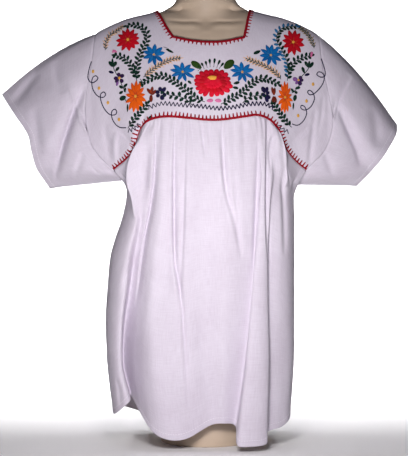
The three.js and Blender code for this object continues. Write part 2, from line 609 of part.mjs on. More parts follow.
// A low cord that lies on the edge of a piece, over the given columns. It rises from the cloth's
// own points, moved out, and its ring of points is swept along the edge.
function edgingGeometry(settled, edgeRow, nextRow, columns, closed) {
  const top = EDGING_LIFT + EDGING_HEIGHT;
  const profile = [
    { in: 0, up: EDGING_LIFT }, { in: EDGING_WIDTH, up: EDGING_LIFT },
    { in: EDGING_WIDTH * EDGING_TOP.to, up: top }, { in: EDGING_WIDTH * EDGING_TOP.from, up: top },
  ];
  const rings = columns.map((c) => {
    const { point, normal } = settled[edgeRow][c];
    const next = settled[nextRow][c];
    const inwards = next.point.clone().sub(point);
    const span = inwards.length();
    inwards.normalize();
    return profile.map((corner) => point.clone()
      .addScaledVector(inwards, corner.in)
      .addScaledVector(normal.clone().lerp(next.normal, corner.in / span).normalize(), corner.up));
  });
  const size = profile.length;
  const positions = rings.flat().flatMap(({ x, y, z }) => [x, y, z]);
  const faces = [];
  const turned = edgeRow > nextRow;
  const quad = (a, b, c, d) => (turned ? faces.push(a, c, b, a, d, c) : faces.push(a, b, c, a, c, d));
  const at = (i, k) => (i % rings.length) * size + (k % size);
  const steps = closed ? rings.length : rings.length - 1;
  for (let i = 0; i < steps; i++) {
    for (let k = 0; k < size; k++) quad(at(i, k), at(i + 1, k), at(i + 1, k + 1), at(i, k + 1));
  }
  if (!closed) {
    const end = rings.length - 1;
    quad(at(0, 0), at(0, 1), at(0, 2), at(0, 3));
    quad(at(end, 0), at(end, 3), at(end, 2), at(end, 1));
  }
  return new THREE.BufferGeometry()
    .setAttribute('position', new THREE.Float32BufferAttribute(positions, 3))
    .setIndex(faces);
}

// The form: closed horizontal sections from the foot to the neck, with flat caps
function formGeometry() {
  const ridgeGap = WALL + FORM_GAP;
  const ridgeOut = through(
    [...shoulderLine].reverse().map(({ out, z }) => [z - ridgeGap, out]),
  );
  const torso = Object.fromEntries(
    ['front', 'back'].map((key) => [key, column(formTorso, 'z', key)]),
  );
  const sections = [
    ...formTorso,
    ...formShoulders,
    ...SHOULDER_LEVELS.map((z) => ({ z, half: ridgeOut(z) })),
    ...formNeck,
  ];
  const neckAt = (face, x, z) => {
    const width = Math.sqrt(Math.max(0, 1 - (x / NECK.half) ** 2));
    return NECK[face] * width * smoothstep(z, NECK.from, NECK.full);
  };
  const chestAt = (face, x, z) => {
    const out = Math.abs(x);
    const drop = Math.max(0, shoulderZ(out) - ridgeGap - z);
    const dropShare = lerp(CHEST.dropShare, 1, smoothstep(drop, CHEST.from, CHEST.full));
    return clothDepth[face](out, drop * dropShare) * CHEST.share;
  };
  const depthAt = (face, x, z, half) => {
    const share = Math.abs(x) / half;
    const round = Math.max(0, 1 - share ** FORM_POWER) ** (1 / FORM_POWER);
    const plain = torso[face](z) * round;
    const cap = Math.max(0, 1 - share ** CHEST_POWER) ** (1 / CHEST_POWER);
    const chest = Math.max(chestAt(face, x, z) * cap, neckAt(face, x, z));
    if (z < NECK.full) {
      return lerp(plain, chest, smoothstep(z, CHEST_BLEND.from, CHEST_BLEND.full));
    }
    const neckDepth = NECK[face] * Math.sqrt(Math.max(0, 1 - share * share));
    const root = Math.max(chest, neckDepth * NECK_ROOT.share);
    const above = smoothstep(z, NECK.full - 1, NECK.full + NECK_ROOT.height);
    return lerp(root, neckDepth, above) * (z > NECK_RIM.z ? NECK_RIM.share : 1);
  };
  const positions = [];
  sections.forEach(({ z, half }) => {
    for (let c = 0; c < FORM_COLUMNS; c++) {
      const turn = (c / FORM_COLUMNS) * 2 * Math.PI;
      const x = -half * Math.cos(turn);
      const face = Math.sin(turn) >= 0 ? 'front' : 'back';
      const flat = c % (FORM_COLUMNS / 2) === 0;
      positions.push(x, flat ? 0 : TOWARDS[face] * depthAt(face, x, z, half), z);
    }
  });
  const low = sections.length * FORM_COLUMNS;
  positions.push(0, 0, sections[0].z, 0, 0, sections[sections.length - 1].z);
  const faces = [];
  for (let c = 0; c < FORM_COLUMNS; c++) {
    const next = (c + 1) % FORM_COLUMNS;
    for (let r = 0; r + 1 < sections.length; r++) {
      const [a, b] = [r * FORM_COLUMNS, (r + 1) * FORM_COLUMNS];
      faces.push(a + c, a + next, b + next, a + c, b + next, b + c);
    }
    const top = (sections.length - 1) * FORM_COLUMNS;
    faces.push(low, next, c);
    faces.push(low + 1, top + c, top + next);
  }
  return new THREE.BufferGeometry()
    .setAttribute('position', new THREE.Float32BufferAttribute(positions, 3))
    .setIndex(faces);
}

function plinthGeometry() {
  const profile = [
    [0, 0], [PLINTH_RADIUS - PLINTH_BEVEL / 2, 0], [PLINTH_RADIUS, PLINTH_BEVEL / 2],
    [PLINTH_RADIUS, PLINTH_HEIGHT - PLINTH_BEVEL], [PLINTH_RADIUS - PLINTH_BEVEL, PLINTH_HEIGHT],
    [0, PLINTH_HEIGHT],
  ].map(([x, y]) => new THREE.Vector2(x, y));
  return new THREE.LatheGeometry(profile, PLINTH_SIDES).rotateX(Math.PI / 2);
}

// Finishes
const cotton = new THREE.MeshStandardMaterial({
  color: '#e9e4ee', roughness: 0.9, side: THREE.DoubleSide,
});
const redThread = new THREE.MeshStandardMaterial({ color: '#b3132f', roughness: 0.7 });
const formSkin = new THREE.MeshStandardMaterial({ color: '#b5a498', roughness: 0.65 });

const blouse = new THREE.Group();
function add(name, geometry, material) {
  const mesh = new THREE.Mesh(geometry, material);
  mesh.name = name;
  blouse.add(mesh);
}

// Cut the cloth first, so that every seam knows both its pieces
const yoke = cloth(yokeRows(), true);
const pieces = {
  yoke,
  front_panel: cloth(panelRows('front'), false),
  back_panel: cloth(panelRows('back').map((row) => [...row].reverse()), false),
  sleeve_left: cloth(sleeveRows('left'), true),
  sleeve_right: cloth(sleeveRows('right'), true),
};
Object.entries(pieces).forEach(([name, piece]) => add(name, clothGeometry(piece), cotton));

// Red edging on the neck, and on the yoke along its front and back seams
const yokeSettled = settle(yoke);
const range = (from, to) => Array.from({ length: to - from + 1 }, (_, i) => from + i);
const frontCount = yokeLines('front').length;
const allColumns = range(0, yoke.rows[0].length - 1);
add('neck_edging', edgingGeometry(yokeSettled, 0, 1, allColumns, true), redThread);
const frontSeam = range(ARMHOLE_STEPS + 1, frontCount - ARMHOLE_STEPS - 2);
const backSeam = range(frontCount + ARMHOLE_STEPS, yoke.rows[0].length - ARMHOLE_STEPS - 1);
const seamEdging = (columns) => edgingGeometry(yokeSettled, YOKE_ROWS, YOKE_ROWS - 1, columns, false);
add('front_seam_edging', seamEdging(frontSeam), redThread);
add('back_seam_edging', seamEdging(backSeam), redThread);

add('dress_form', formGeometry(), formSkin);
add('form_plinth', plinthGeometry(), formSkin);

export default blouse;
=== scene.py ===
"""A short-sleeved cotton blouse with an embroidered yoke, on a limbless dress form.

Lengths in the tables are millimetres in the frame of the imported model. Left and right are as seen
from the front, so left is -X.
"""
import functools
import math

import bpy
import numpy as np
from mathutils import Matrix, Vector
from mathutils.bvhtree import BVHTree


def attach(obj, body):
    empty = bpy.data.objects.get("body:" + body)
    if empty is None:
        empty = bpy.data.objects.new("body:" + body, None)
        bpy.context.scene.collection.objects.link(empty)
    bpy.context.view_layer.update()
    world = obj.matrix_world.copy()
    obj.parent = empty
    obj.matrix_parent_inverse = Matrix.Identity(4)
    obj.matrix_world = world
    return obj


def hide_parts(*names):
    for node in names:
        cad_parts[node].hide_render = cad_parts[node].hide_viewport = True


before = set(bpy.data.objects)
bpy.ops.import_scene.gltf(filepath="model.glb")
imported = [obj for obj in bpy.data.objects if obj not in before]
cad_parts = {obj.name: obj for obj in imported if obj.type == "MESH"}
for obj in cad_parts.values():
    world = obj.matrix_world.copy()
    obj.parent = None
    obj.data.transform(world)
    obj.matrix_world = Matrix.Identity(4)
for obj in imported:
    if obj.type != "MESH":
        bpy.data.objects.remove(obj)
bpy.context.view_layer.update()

bl_info = {
    "name": "Embroidered Blouse",
    "version": (1, 0, 0),
    "blender": (4, 5, 0),
    "location": "3D View > Sidebar > Blouse",
    "description": "Builds an embroidered cotton blouse on a dress form",
    "category": "Object",
}

MM = 0.001
IMAGE_HEIGHT = 456

SECTION_POWER = 3.2           # how square the body's horizontal sections are
FORM_POWER = 2.5              # the same for the form
SEAM_EASE = 120.0             # height over which the panels leave the line of the yoke seam
CORNER_EASE = 26.0            # the same where the seam ends at the armholes
TOP_SHARE = 0.95              # widest share of the half width that a panel's column starts from
YOKE_BOW = 45.0               # how far the yoke's columns bow out on their way to the seam's ends
UNDERARM_POWER = 0.6          # how full the edge under the arm is, seen from above
SEAM_ENDS = {"left": -160.0, "right": 174.0}
TOWARDS = {"front": -1.0, "back": 1.0}

# Height of the shoulder line over the floor, by distance from the middle
SHOULDER_LINE = [
    (0, 769), (50, 769), (76, 766), (88, 763), (110, 757.5), (137, 751), (160, 742.5),
    (187, 729.5), (197, 723), (212, 714), (230, 700),
]

# Depth of the cloth before and behind the shoulder line: rows of drop below it, columns of distance
# from the middle
DEPTH_COLUMNS = [0, 60, 110, 160, 212]
DEPTH_ROWS = {
    "front": [
        (0, [0, 0, 0, 0, 0]),
        (3, [20, 20, 20, 18, 16]),
        (10, [36, 36, 34, 30, 26]),
        (25, [52, 52, 48, 41, 35]),
        (60, [73, 72, 64, 53, 44]),
        (110, [92, 90, 79, 64, 51]),
        (160, [106, 104, 92, 71, 54]),
        (205, [115, 113, 101, 74, 53]),
        (250, [120, 118, 105, 67, 47]),
        (290, [122, 120, 104, 58, 38]),
    ],
    "back": [
        (0, [0, 0, 0, 0, 0]),
        (3, [22, 21, 19, 18, 16]),
        (10, [42, 38, 32, 29, 25]),
        (25, [63, 55, 45, 38, 33]),
        (60, [80, 75, 61, 50, 42]),
        (110, [92, 88, 76, 60, 48]),
        (160, [98, 95, 84, 66, 51]),
        (205, [101, 98, 87, 66, 50]),
        (250, [102, 99, 87, 59, 45]),
        (290, [102, 98, 85, 50, 38]),
    ],
}

# Edges as (x, z) points: the neck opening, the armholes and the seam of yoke and panels
NECK = {
    "front": {
        "left": [(-86, 763.5), (-76, 744), (-65, 723), (-56, 709)],
        "across": [(-56, 709), (-28, 703), (4, 700), (34, 701.5), (64, 708)],
        "right": [(64, 708), (68, 726), (72, 746), (77, 765.8)],
    },
    "back": {
        "left": [(-86, 763.5), (-78, 755), (-68, 746)],
        "across": [(-68, 746), (0, 742), (62, 746)],
        "right": [(62, 746), (70, 756), (77, 765.8)],
    },
}
ARMHOLE = {
    "left": [(-196, 723.7), (-200, 671), (-206, 635), (-211, 583), (-203, 531), (-184, 500), (-160, 479)],
    "right": [(199, 721.8), (203, 671), (209, 635), (217, 600), (221, 557), (207, 513), (174, 479)],
}
UNDERARM = {"left": (-141, 463), "right": (159, 455)}
YOKE_SEAM = {
    "front": [
        (-160, 479), (-126, 509), (-112, 547), (-98, 560), (-70, 566), (-27, 563), (3, 560), (32, 561),
        (66, 566), (88, 569), (108, 562), (122, 547), (131, 526), (141, 509), (157, 492), (174, 479),
    ],
    "back": [
        (-160, 479), (-130, 513), (-115, 547), (-96, 562), (0, 566), (96, 564), (118, 551), (138, 515),
        (174, 479),
    ],
}

# The hanging body's horizontal sections: height, half widths left and right, depths front and back
BODY_SECTIONS = [
    (0, 159, 146, 116, 111), (56, 164, 149, 117, 111), (93, 169, 152, 118, 111), (134, 174, 155, 119, 110),
    (170, 176, 156, 120, 110), (221, 177, 156, 121, 109), (257, 175, 156, 122, 108),
    (326, 169, 156, 123, 107), (357, 161, 156, 124, 106), (392, 149, 156, 126, 105),
    (428, 141, 155, 127, 104), (466, 139, 156, 127, 102), (505, 134, 148, 125, 102),
    (570, 125, 134, 116, 100),
]

# Fold lines of the panels from the left side seam to the right one: place on the top edge, shares of
# the half width at knee, low and hem height, how far the cloth stands out there, and the hem's height
KNEE_Z = 340.0
LOW_Z = 150.0
FOLD_KEYS = ["seam", "knee", "low", "hem", "knee_out", "low_out", "hem_out", "hem_z"]
FOLD_ROWS = {
    "front": [
        (-2, -1, -1, -1, 0, 0, 0, 58), (-1, -0.95, -0.95, -0.945, 9, 21, 21, 60),
        (-0.74, -0.79, -0.82, -0.775, 12, 15, 13, 84), (-0.64, -0.72, -0.83, -0.785, -12, -48, -48, 88),
        (-0.54, -0.6, -0.7, -0.67, -2, -24, -20, 56), (-0.44, -0.5, -0.6, -0.56, 4, -4, 0, 32),
        (-0.34, -0.37, -0.49, -0.4, -3, 6, 7, 20), (-0.23, -0.2, -0.25, -0.2, 3, 4, 4, 22),
        (-0.06, -0.01, 0.02, 0.04, -3, -6, -9, 42), (0.16, 0.22, 0.2, 0.2, 4, -2, -6, 46),
        (0.46, 0.524, 0.418, 0.338, -5, -13, -15, 40), (0.51, 0.54, 0.434, 0.356, 6, 14, 21, 14),
        (0.55, 0.61, 0.55, 0.5, 9, 19, 26, 11), (0.59, 0.67, 0.68, 0.695, 6, 13, 20, 14),
        (0.64, 0.68, 0.68, 0.7, -5, -5, -6, 29), (0.74, 0.83, 0.845, 0.87, 2, -2, -2, 36),
        (1, 0.95, 0.955, 0.96, 6, 5, 5, 45), (2, 1, 1, 1, 0, 0, 0, 52),
    ],
    "back": [
        (-2, -1, -1, -1, 0, 0, 0, 58), (-1, -0.94, -0.94, -0.94, 5, 6, 6, 52),
        (-0.7, -0.78, -0.76, -0.76, -6, -10, -12, 42), (-0.5, -0.56, -0.56, -0.57, 6, 13, 17, 26),
        (-0.34, -0.37, -0.38, -0.38, -4, -8, -9, 34), (-0.16, -0.17, -0.16, -0.17, 5, 9, 12, 24),
        (0.02, 0.01, 0.02, 0.02, -4, -7, -8, 33), (0.2, 0.22, 0.22, 0.23, 6, 12, 16, 22),
        (0.36, 0.42, 0.43, 0.43, -5, -9, -11, 34), (0.54, 0.62, 0.62, 0.63, 6, 12, 14, 28),
        (0.74, 0.82, 0.81, 0.81, -4, -7, -8, 42), (1, 0.95, 0.95, 0.95, 4, 5, 5, 48),
        (2, 1, 1, 1, 0, 0, 0, 52),
    ],
}

# Gathers that start at the yoke seam and die out below it: place on the seam, sideways drift, reach
# downwards, depth of the crease and its half width
GATHERS = {
    "front": [
        (-0.59, -6, 150, 4, 5), (-0.49, -3, 90, 3.5, 5), (-0.39, 2, 110, 3, 5), (-0.28, 3, 170, 4, 5),
        (-0.15, 2, 80, 3, 5), (0.03, 4, 120, 3, 5), (0.12, 20, 240, 4, 5), (0.26, 4, 100, 3, 5),
        (0.36, 4, 130, 3.5, 5), (0.69, 4, 120, 4, 5),
    ],
    "back": [
        (place, -4 if i < 4 else 4, 90 if i % 2 else 150, 3.5, 5)
        for i, place in enumerate([-0.6, -0.42, -0.25, -0.07, 0.11, 0.28, 0.45, 0.64])
    ],
}

# Cuff edges from the top fold to the bottom one: x, z, and how far front and back stand open
CUFF = {
    "left": [
        (-363, 615, 0, 0), (-340, 582, 26, 24), (-313, 543, 38, 35), (-306, 514, 40, 36),
        (-297, 481, 30, 28), (-278, 449, 0, 0),
    ],
    "right": [
        (340, 561, 0, 0), (335, 543, 24, 22), (321, 519, 38, 34), (306, 497, 42, 36),
        (289, 476, 30, 28), (268, 453, 0, 0),
    ],
}
SLEEVE_BULGE = {"left": (13, 7), "right": (14, 7)}
# Folds of the sleeves: shares of the way down the armhole and down the cuff, depth and half width
SLEEVE_FOLDS = {
    ("left", "front"): [(0.34, 0.88, 9, 0.09), (0.12, 0.16, 4, 0.09)],
    ("left", "back"): [(0.36, 0.7, 8, 0.09)],
    ("right", "front"): [(0.42, 0.72, 9, 0.09), (0.7, 0.3, 4, 0.09)],
    ("right", "back"): [(0.36, 0.66, 8, 0.09)],
}

# How finely the pieces are drawn
COLUMNS_PER_FOLD = 17
ARMHOLE_STEPS = 80
ARMHOLE_GRADING = 1.5         # columns lie closer to each other at the shoulder than at the underarm
NECK_GRADING = 1.25           # and at the shoulder than at the neck's corners
PANEL_ROWS = 110
YOKE_ROWS = 50
SLEEVE_ROWS = 56
# A usual length from edge to edge, and the distances in mm from an edge at which its close rows lie
PANEL_LENGTH = 480.0
YOKE_LENGTH = 130.0
SLEEVE_LENGTH = 120.0
NECK_ROWS_AT = [0, 1, 2, 3, 4, 5.5]
SEAM_ROWS_AT = [0, 0.7, 1.4, 2.2, 3.2, 4.5, 6.5]
HEM_ROWS_AT = [14, 12.5, 11.5, 11, 10.5, 10, 9.5, 8.5, 6.5, 4, 2, 0.8, 0]

GATHER_START = 18.0           # distance below the seam at which a gather is at its deepest
SEAM_DIP = 0.8                # how far a seam draws the cloth in, and over what distance
SEAM_DIP_WIDTH = 2.2
HEM_WIDTH = 11.0
HEM_STEP = 0.4                # the turned hem stands this far out, over a step this wide
HEM_STEP_WIDTH = 1.2
HEM_DIP = 0.35                # its stitch line dips this far in, over this half width
HEM_DIP_WIDTH = 0.9
HEM_STITCH_IN = 1.2           # the stitch line lies this far below the upper edge of the hem
MATCHES_PER_MM = 20           # rims of two pieces meet where their points round to the same place

PUCKER_PITCH = 8.2            # fine puckers of the gathered seam
PUCKER_DEPTH = 1.1
PUCKER_REACH = 20.0

# Creases, listed by the pieces and the face that they cross: (x, z) points, depth, half width
# and lean
CREASES = {
    ("sleeve", "front"): [
        ([(-212, 628), (-223, 602), (-233, 580), (-248, 537), (-258, 500), (-267, 462)], 8.5, 5, 1.5),
        ([(-242, 632), (-225, 584), (-213, 557), (-196, 528), (-170, 490)], -3.9, 2.6, 0.8),
        ([(-220, 588), (-209, 560), (-200, 545)], 2.6, 2.2, 1),
        ([(-296, 655), (-318, 628), (-340, 598)], 5.9, 9, 1),
        ([(-268, 672), (-262, 640), (-250, 612)], 3.9, 8, 1.2),
        ([(-300, 590), (-296, 552), (-290, 505)], 3.9, 9, 1),
        ([(-214, 508), (-222, 488), (-232, 462)], 3.2, 5, 1.2),
        ([(256, 646), (244, 622), (233, 597), (224, 570)], 5.2, 4, 0.45),
        ([(231, 604), (224, 578), (214, 548), (206, 526)], -3.9, 2, 1),
        ([(226, 592), (219, 570), (208, 540), (199, 512)], 3.4, 2.6, 0.8),
        ([(230, 590), (246, 553), (262, 518), (270, 486)], 5.9, 6, 1.3),
        ([(290, 590), (298, 560), (300, 520)], 3.9, 10, 1),
        ([(206, 512), (214, 488), (226, 462)], 3.2, 6, 1),
    ],
    ("sleeve yoke", "front"): [
        ([(-184, 492), (-170, 480), (-150, 466)], 2.2, 2.4, 1),
        ([(-202, 486), (-188, 474), (-174, 464)], 1.8, 2.4, 1),
    ],
    ("yoke", "front"): [
        ([(-160, 546), (-146, 538), (-133, 526), (-119, 511)], 5.5, 4, 1.3),
        ([(-154, 548), (-158, 523), (-157, 488)], -4, 4.5, 1),
        ([(-176, 560), (-172, 530), (-168, 500)], 2.4, 5, 1),
        ([(-202, 640), (-202, 600), (-194, 556)], 1.5, 7, 1),
        ([(-120, 572), (-128, 560), (-138, 556)], 2, 3, 1),
        ([(186, 560), (165, 541), (147, 526), (133, 518)], 5, 5, 0.8),
        ([(190, 586), (184, 540), (178, 488)], 4.5, 4, 1.2),
        ([(204, 610), (200, 572), (192, 536)], 2.4, 3.4, 1),
        ([(210, 640), (212, 612), (209, 580)], 1.5, 7, 1),
    ],
    ("panel", "front"): [
        ([(-85, 552), (-88, 468), (-95, 409), (-104, 366), (-115, 283), (-120, 244)], 7.6, 3.4, 1.7),
        ([(-93, 552), (-96, 468), (-103, 409), (-112, 356)], -3.6, 5, 1),
        ([(-54, 568), (-54, 341), (-42, 250), (-30, 60)], 7, 2.8, 1.7),
        ([(-60, 560), (-60, 341), (-49, 250)], -3.1, 4, 1),
        ([(-34, 555), (-39, 358), (-48, 205)], 4.5, 3.2, 0.6),
        ([(-10, 566), (-6, 530), (0, 494)], 3.6, 2.6, 1.3),
        ([(27, 572), (30, 481), (36, 430), (45, 397), (58, 334)], 7, 3, 1.6),
        ([(20, 560), (23, 481), (29, 425)], -3.1, 4, 1),
        ([(46, 476), (58, 324)], 3.6, 3.2, 1.5),
        ([(88, 520), (87, 409), (83, 336)], 4.2, 2.6, 1.4),
        ([(87, 500), (84, 400), (80, 310)], 7, 2.4, 0.8),
        ([(104, 580), (101.5, 409), (105, 320)], 7.7, 2.8, 1.8),
        ([(-118, 330), (-133, 300), (-141, 262)], 4.2, 6, 1),
        ([(-152, 122), (-148, 100), (-146, 70)], 3.6, 4, 1.3),
        ([(118, 555), (130, 440), (134, 330)], 6.3, 4, 1.4),
        ([(-8, 240), (-4, 150), (4, 70)], 2.5, 9, 1),
    ],
    ("yoke panel", "front"): [
        ([(-104, 572), (-112, 544), (-125, 506), (-132, 476), (-131, 450), (-125, 420)], 7.5, 4, 0.7),
        ([(128, 556), (114, 538), (108, 507), (110, 470)], 6, 4, 1.4),
        ([(130, 514), (134, 482), (146, 448)], 5, 3.4, 0.8),
    ],
    ("panel", "back"): [
        ([(-80, 560), (-88, 430), (-84, 250)], 4, 5, 1.3),
        ([(-20, 566), (-26, 420), (-22, 260)], 3, 4, 0.7),
        ([(40, 566), (52, 400), (56, 200)], 3.5, 4, 1.4),
        ([(96, 550), (110, 420), (112, 300)], 4, 5, 1),
        ([(-120, 470), (-128, 340), (-122, 190)], 4, 4, 1.5),
        ([(12, 380), (16, 240), (20, 60)], 3, 4, 0.7),
    ],
    ("yoke panel", "back"): [
        ([(-98, 596), (-106, 556), (-112, 500)], 4, 4, 0.8),
    ],
    ("yoke", "back"): [
        ([(168, 566), (172, 536), (160, 500)], 2.4, 4, 1.2),
    ],
    ("sleeve", "back"): [
        ([(-226, 622), (-236, 574), (-252, 520), (-262, 474)], 5, 6, 0.7),
        ([(-298, 640), (-310, 590), (-300, 530)], 3, 9, 1),
        ([(246, 624), (240, 572), (252, 520), (258, 480)], 5, 6, 1.4),
        ([(296, 600), (300, 560), (296, 520)], 3, 9, 1),
    ],
}

# Where the front panel laps sideways over its own seam: (x, z) points of the lap, then how far it
# moves across, how far out, and its half width
LAPS = [
    ([(-97, 552), (-101, 530), (-111, 506), (-118, 476), (-119, 451), (-114, 430), (-116, 395)], -16, 8, 9),
    ([(112, 556), (120, 532), (126, 502), (128, 481), (136, 450)], 10, 6, 7),
]

# Blanket-stitched edging: the cord along the cloth's edge, its wraps, and the teeth into the cloth
TOOTH_START = 1.2             # how far under the cord a tooth starts
CORD_HEIGHT = 1.5
CORD_OVERHANG = 0.5
CORD_SINK = 0.3
CORD_SIDES = 10
EDGING_STEP = 0.33            # how far apart the cord's rings lie
WRAP_PITCH = 1.3
WRAP_RELIEF = 0.09
TOOTH_WIDTH = 3.4
TOOTH_HEIGHT = 0.9
NECK_TOOTH_REACH = 8.6        # from the cloth's edge to a tooth's tip
SEAM_TOOTH_REACH = 10.0

# The form: height, half width, front and back depth
FORM_TORSO = [
    (60.3, 92, 66, 66), (66, 100, 72, 72), (84, 119, 83, 82), (112, 135, 92, 92), (150, 141, 96, 98),
    (200, 139, 95, 98), (250, 130, 91, 92), (300, 118, 87, 84), (345, 112, 85, 78), (400, 118, 93, 80),
    (450, 127, 106, 86), (505, 132, 114, 91), (560, 137, 108, 93), (600, 149, 99, 91),
]
FORM_SHOULDERS = [(640, 167), (670, 178), (695, 185), (710, 187), (720, 186), (726, 182.5)]
FORM_NECK = [(762, 80), (766, 72), (773, 60.5), (784, 53), (800, 50), (819, 50), (824, 46)]
FORM_NECK_HALF = 51.0
FORM_NECK_DEPTH = {"front": 46.0, "back": 54.0}
COLLARBONES = [
    [(-70, 741), (-40, 738), (-14, 737), (-4, 722)],
    [(68, 741), (44, 738), (14, 737), (2, 722)],
]
# Each is a groove with a low ridge under it: depth, distance below and half width
COLLARBONE_RELIEF = [(2.6, 0, 3.2), (-2.4, 8, 6)]
RIDGE_GAP = 2.05              # the shoulders' ridge lies this far under the cloth's
RIDGE_LEVELS = [732, 739, 746, 753, 758]  # heights at which the form's width follows that ridge
CHEST_UNDER_CLOTH = 0.94      # the chest's depth as a share of the cloth's
# Heights over which the chest takes over from the torso, the neck grows out of it and is alone
CHEST_GROWS = (560, 630)
NECK_GROWS = (690, 755)
NECK_ALONE = (761, 776)
# Rings of the form: from, to and count
FORM_LEVELS = [(60.3, 84, 9), (84, 700, 90), (700, 824, 75)]
FORM_COLUMNS = 180
FORM_BLEND = 14.0             # over which depth the neck runs into the chest
PLINTH_RADIUS = 80.0
PLINTH_HEIGHT = 60.0
PLINTH_BEVEL = 5.0
PLINTH_SIDES = 128

# Machine stitches of the hems, thin at both ends
HEM_STITCH = {"length": 3.4, "gap": 1.0, "width": 0.8, "height": 0.35, "taper": [0.25, 0.9, 1, 0.9, 0.25]}

# Thread colours: light and deep. Stitches mix the two by their own unevenness, and padded shapes also by
# painted shade towards their edges
THREADS = {
    "white": ("#F4F0F6", "#DDD6E2"),
    "red": ("#CC0820", "#8A0414"),
    "dark_red": ("#A80420", "#6A0212"),
    "scarlet": ("#E01030", "#A80A20"),
    "orange": ("#EC6410", "#C23A0C"),
    "rust": ("#C04A20", "#8E3014"),
    "blue": ("#0A6FB6", "#043E7A"),
    "azure": ("#3A7EB0", "#14486E"),
    "green": ("#0C3426", "#03140F"),
    "teal": ("#123C34", "#06221E"),
    "olive": ("#34521C", "#20360E"),
    "peach": ("#ECC49C", "#D09A70"),
    "tan": ("#B09A78", "#8A7050"),
    "gold": ("#F0B048", "#C8842A"),
    "yellow": ("#E0AC50", "#BE842C"),
    "navy": ("#1C1744", "#0E0B28"),
    "purple": ("#3E2058", "#20102E"),
    "lilac": ("#8A5C9C", "#5E3A74"),
    "pink": ("#DC7CA8", "#BC5488"),
    "maroon": ("#7C2C1C", "#4E160E"),
}

# The camera stands level before the form; a pixel is PIXEL_MM wide at the form's middle
CAMERA_X = -3.56
CAMERA_Z = 378.0
PIXEL_MM = 1.78
SENSOR = 36.0

# Lights: name, place and aim in metres, size, beam in degrees, watts and colour
LIGHTS = [
    ("key_light", (-0.03, -0.8, 0.42), (0, 0, 0.42), 0.2, 180, 5.1, "#FFFBFB"),
    ("front_fill", (-0.1, -2.4, 1.1), (0, 0, 0.4), 0.6, 180, 5.2, "#E6E8FF"),
    ("floor_light_left", (-1.3, 0.6, 2.4), (-0.5, 1.7, 0.0), 1.0, 70, 36, "#FFFFFF"),
    ("floor_light_right", (1.3, 0.6, 2.4), (0.5, 1.7, 0.0), 1.0, 70, 36, "#FFFFFF"),
    ("wall_light", (0.0, 1.4, 1.9), (0.0, 4.0, 1.2), 1.0, 90, 48, "#FFFFFF"),
]
WORLD_STRENGTH = 0.06
WORLD_COLOUR = "#F3F2F8"
# The floor in metres: half width, front end, where it starts to rise, radius of the bend, and its top
SWEEP_HALF, SWEEP_FRONT, SWEEP_BACK, SWEEP_ROUND, SWEEP_TOP = 4, -3.6, 2.8, 1.2, 4.6
STITCH_SINK = 0.25            # how deep stitches are set into the cloth
THREAD_SIDES = 8

# Embroidery on the yoke's front, as (x, z) places in mm. Flowers: colour, middle, half width, half
# height, petals, first petal's angle, petal width, and the radius of the heart
FLOWERS = [
    ("red", (-136, 706), 22, 21, 12, 4, 8.6, 2.6),
    ("red", (152, 702), 21, 23, 11, 15, 9.0, 2.4),
    ("blue", (-90, 677), 21, 19, 9, 2, 7.6, 1.6),
    ("blue", (-40, 645), 23, 17, 9, 10, 7.2, 1.8),
    ("blue", (62, 645), 22, 18, 9, 12, 7.2, 1.8),
    ("blue", (112, 677), 21, 19, 10, 8, 7.4, 1.6),
    ("orange", (-121, 604), 18, 28, 13, 8, 7.6, 2.6),
    ("orange", (136, 603), 13, 28, 13, 14, 6.2, 2.2),
]
# The big flower in the middle: rings of petals, as half width, half height, petals, turn and width
BIG_FLOWER = {
    "middle": (12, 626), "rings": [(33, 25, 19, 0, 9), (25, 18.5, 16, 12, 8.5), (16, 11.5, 13, 4, 7)],
}
BIG_HEART = {"middle": (11, 634), "half": (9.5, 3.6)}

